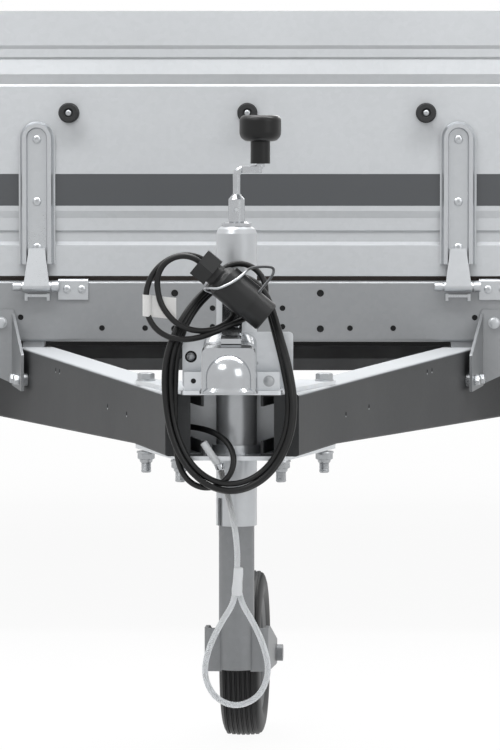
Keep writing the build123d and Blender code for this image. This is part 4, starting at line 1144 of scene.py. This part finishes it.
def jockey_tread(materials):
    """Solid tyre with grooves round its crown."""
    rows = list(JW_WALL)
    pitch = (2 * JW_HALF - 2 * JW_SHOULDER) / JW_GROOVES
    for n in range(JW_GROOVES):
        start = JW_SHOULDER + n * pitch
        crown = JW_R - JW_CROWN * ((n + 0.5) / JW_GROOVES * 2 - 1) ** 2
        rows += [(crown, start + 0.3), (crown, start + pitch * 0.56),
                 (crown - JW_GROOVE_DEEP, start + pitch * 0.68),
                 (crown - JW_GROOVE_DEEP, start + pitch * 0.88)]
    rows += [(radius, 2 * JW_HALF - across) for radius, across in JW_WALL[::-1]]
    stock = Stock()
    rings = []
    for n in range(JW_SIDES):
        a = math.tau * n / JW_SIDES
        rings.append([(across - JW_HALF, radius * math.cos(a), radius * math.sin(a))
                      for radius, across in rows])
    place = (Matrix.Translation(at(*JOCKEY_AT, 0))
             @ Matrix.Rotation(math.radians(CASTER_TURN), 4, "Z")
             @ Matrix.Translation((0.0, CASTER_TRAIL * MM, JW_R * MM)) @ Matrix.Scale(MM, 4))
    stock.shell(rings, place, wrap=True)
    tyre = stock.piece("jockey_tyre_tread", materials["jockey_rubber"], "jockey_wheel",
                       "jockey_rubber")
    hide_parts("jockey_tyre")


# ---------------------------------------------------------------- lamps and number plate
def rounded(span_x, span_z, y, inset, corner, steps):
    """Ring of a rectangle with rounded corners, drawn in by inset, in the plane at y."""
    ring = []
    (x0, x1), (z0, z1) = span_x, span_z
    for cx, cz, start in ((x1, z1, 0), (x0, z1, 90), (x0, z0, 180), (x1, z0, 270)):
        mid_x = cx - math.copysign(corner + inset, cx - (x0 + x1) / 2)
        mid_z = cz - math.copysign(corner + inset, cz - (z0 + z1) / 2)
        for k in range(steps + 1):
            a = math.radians(start + k * 90.0 / steps)
            ring.append((mid_x + corner * math.cos(a), y, mid_z + corner * math.sin(a)))
    return ring


PANE_STEPS = 5
PANE_CORNER = 6.0
PANE_DOME = 4.0


def pillow(stock, span_x, span_z, back, way):
    """Domed pane growing from the plane at back; way is -1 to the front, 1 to the rear."""
    rings = []
    for n in range(PANE_STEPS + 1):
        share = n / PANE_STEPS
        inset = PANE_DOME * 1.5 * share ** 2
        y = back + way * PANE_DOME * math.sin(share * math.pi / 2)
        rings.append(rounded(span_x, span_z, y, inset, PANE_CORNER - min(inset, 3.0), 4))
    stock.shell(rings, in_millimetres())


LAMP_FACE = 3495.0
LAMP_Z = (333.0, 425.0)
# inner and outer edge of each pane from the middle plane
LAMP_PANES = [("lens_red", 414.0, 478.0), ("lens_clear", 479.0, 520.0),
              ("lens_red", 521.0, 562.0), ("lens_amber", 563.0, 606.0)]
MARKER_PANE = (593.0, 637.0)
MARKER_Z = (447.0, 491.0)
MARKER_FACE = 1088.0
PANE_SUNK = 0.5


def mirrored_span(side, span):
    return sorted(side * x for x in span)


def lamp_lenses(materials):
    """Panes of the rear lamps and the front markers, one piece for each colour."""
    for name in ("lens_red", "lens_clear", "lens_amber"):
        stock = Stock()
        for side in (-1, 1):
            for kind, *span in LAMP_PANES:
                if kind == name:
                    pillow(stock, mirrored_span(side, span), LAMP_Z, LAMP_FACE - PANE_SUNK, 1)
            if name == "lens_clear":
                pillow(stock, mirrored_span(side, MARKER_PANE), MARKER_Z,
                       MARKER_FACE + PANE_SUNK, -1)
        stock.piece(name + "_panes", materials[name], "chassis", "lamp_plastic")


LIP_BACK = (3449.0, 3461.0)
LIP_Z = (300.0, 330.0)
LIP_HALF = 628.0
LIP_EDGE = 3.0


def lamp_bar_shade_strip(materials):
    """Black strip along the lower edge of the lamp bar: a dark sheet of painted shade in the gap
    seen under the front beam.
    """
    stock = Stock()
    y0, y1 = LIP_BACK
    z0, z1 = LIP_Z
    section = [(y0 + LIP_EDGE, z0), (y1 - LIP_EDGE, z0), (y1, z0 + LIP_EDGE), (y1, z1 - 16),
               (y1 - LIP_EDGE, z1 - 14), (y0 + 4, z1), (y0, z1), (y0, z0 + LIP_EDGE)]
    rings = []
    mid_y = (y0 + y1) / 2
    mid_z = (z0 + z1) / 2
    for x, inset in ((-LIP_HALF, LIP_EDGE), (-LIP_HALF + LIP_EDGE, 0.0),
                     (LIP_HALF - LIP_EDGE, 0.0), (LIP_HALF, LIP_EDGE)):
        rings.append([(x, y - math.copysign(inset / 2, y - mid_y),
                       z - math.copysign(inset, z - mid_z)) for y, z in section])
    stock.shell(rings, in_millimetres())
    stock.piece("lamp_bar_shade_strip", materials["guard_plastic"], "chassis", "guard_plastic")


PLATE_X = 258.0
PLATE_Z = (317.0, 427.0)
PLATE_BACK = 3461.0
PLATE_CORNER = 9.0
# drawn in from the plate's edge, height over PLATE_BACK
PLATE_RIM = [(0.0, -0.3), (0.0, 1.6), (1.2, 2.4), (4.0, 2.4), (5.0, 1.3)]


def number_plate(materials):
    """Blank plate with a pressed rim."""
    stock = Stock()
    rings = [rounded((-PLATE_X, PLATE_X), PLATE_Z, PLATE_BACK + out, inset,
                     max(PLATE_CORNER - inset, 4.0), 6) for inset, out in PLATE_RIM]
    stock.shell(rings, in_millimetres())
    stock.piece("number_plate", materials["plate_white"], "chassis", "lamp_plastic")


# ---------------------------------------------------------------- the scene
def build():
    add_camera()
    add_world()
    add_lights()
    add_floor()
    materials = make_materials()
    dress_nodes(materials)
    add_cable(materials)
    add_rope(materials)
    drawbar_bolts(materials)
    coupling_fittings(materials)
    beam_bore_shade(materials)
    bracket_bolts(materials)
    end_screws(materials)
    rope_ring(materials)
    cable_label(materials)
    plug_bail(materials)
    for name, side in (("left", -1), ("right", 1)):
        road_tyre("tyre_" + name, side, materials["tyre"])
        lug_bolts("lug_bolts_" + name, side, materials)
    jockey_tread(materials)
    lamp_lenses(materials)
    lamp_bar_shade_strip(materials)
    number_plate(materials)


build()
bpy.context.scene.view_settings.view_transform = "Standard"
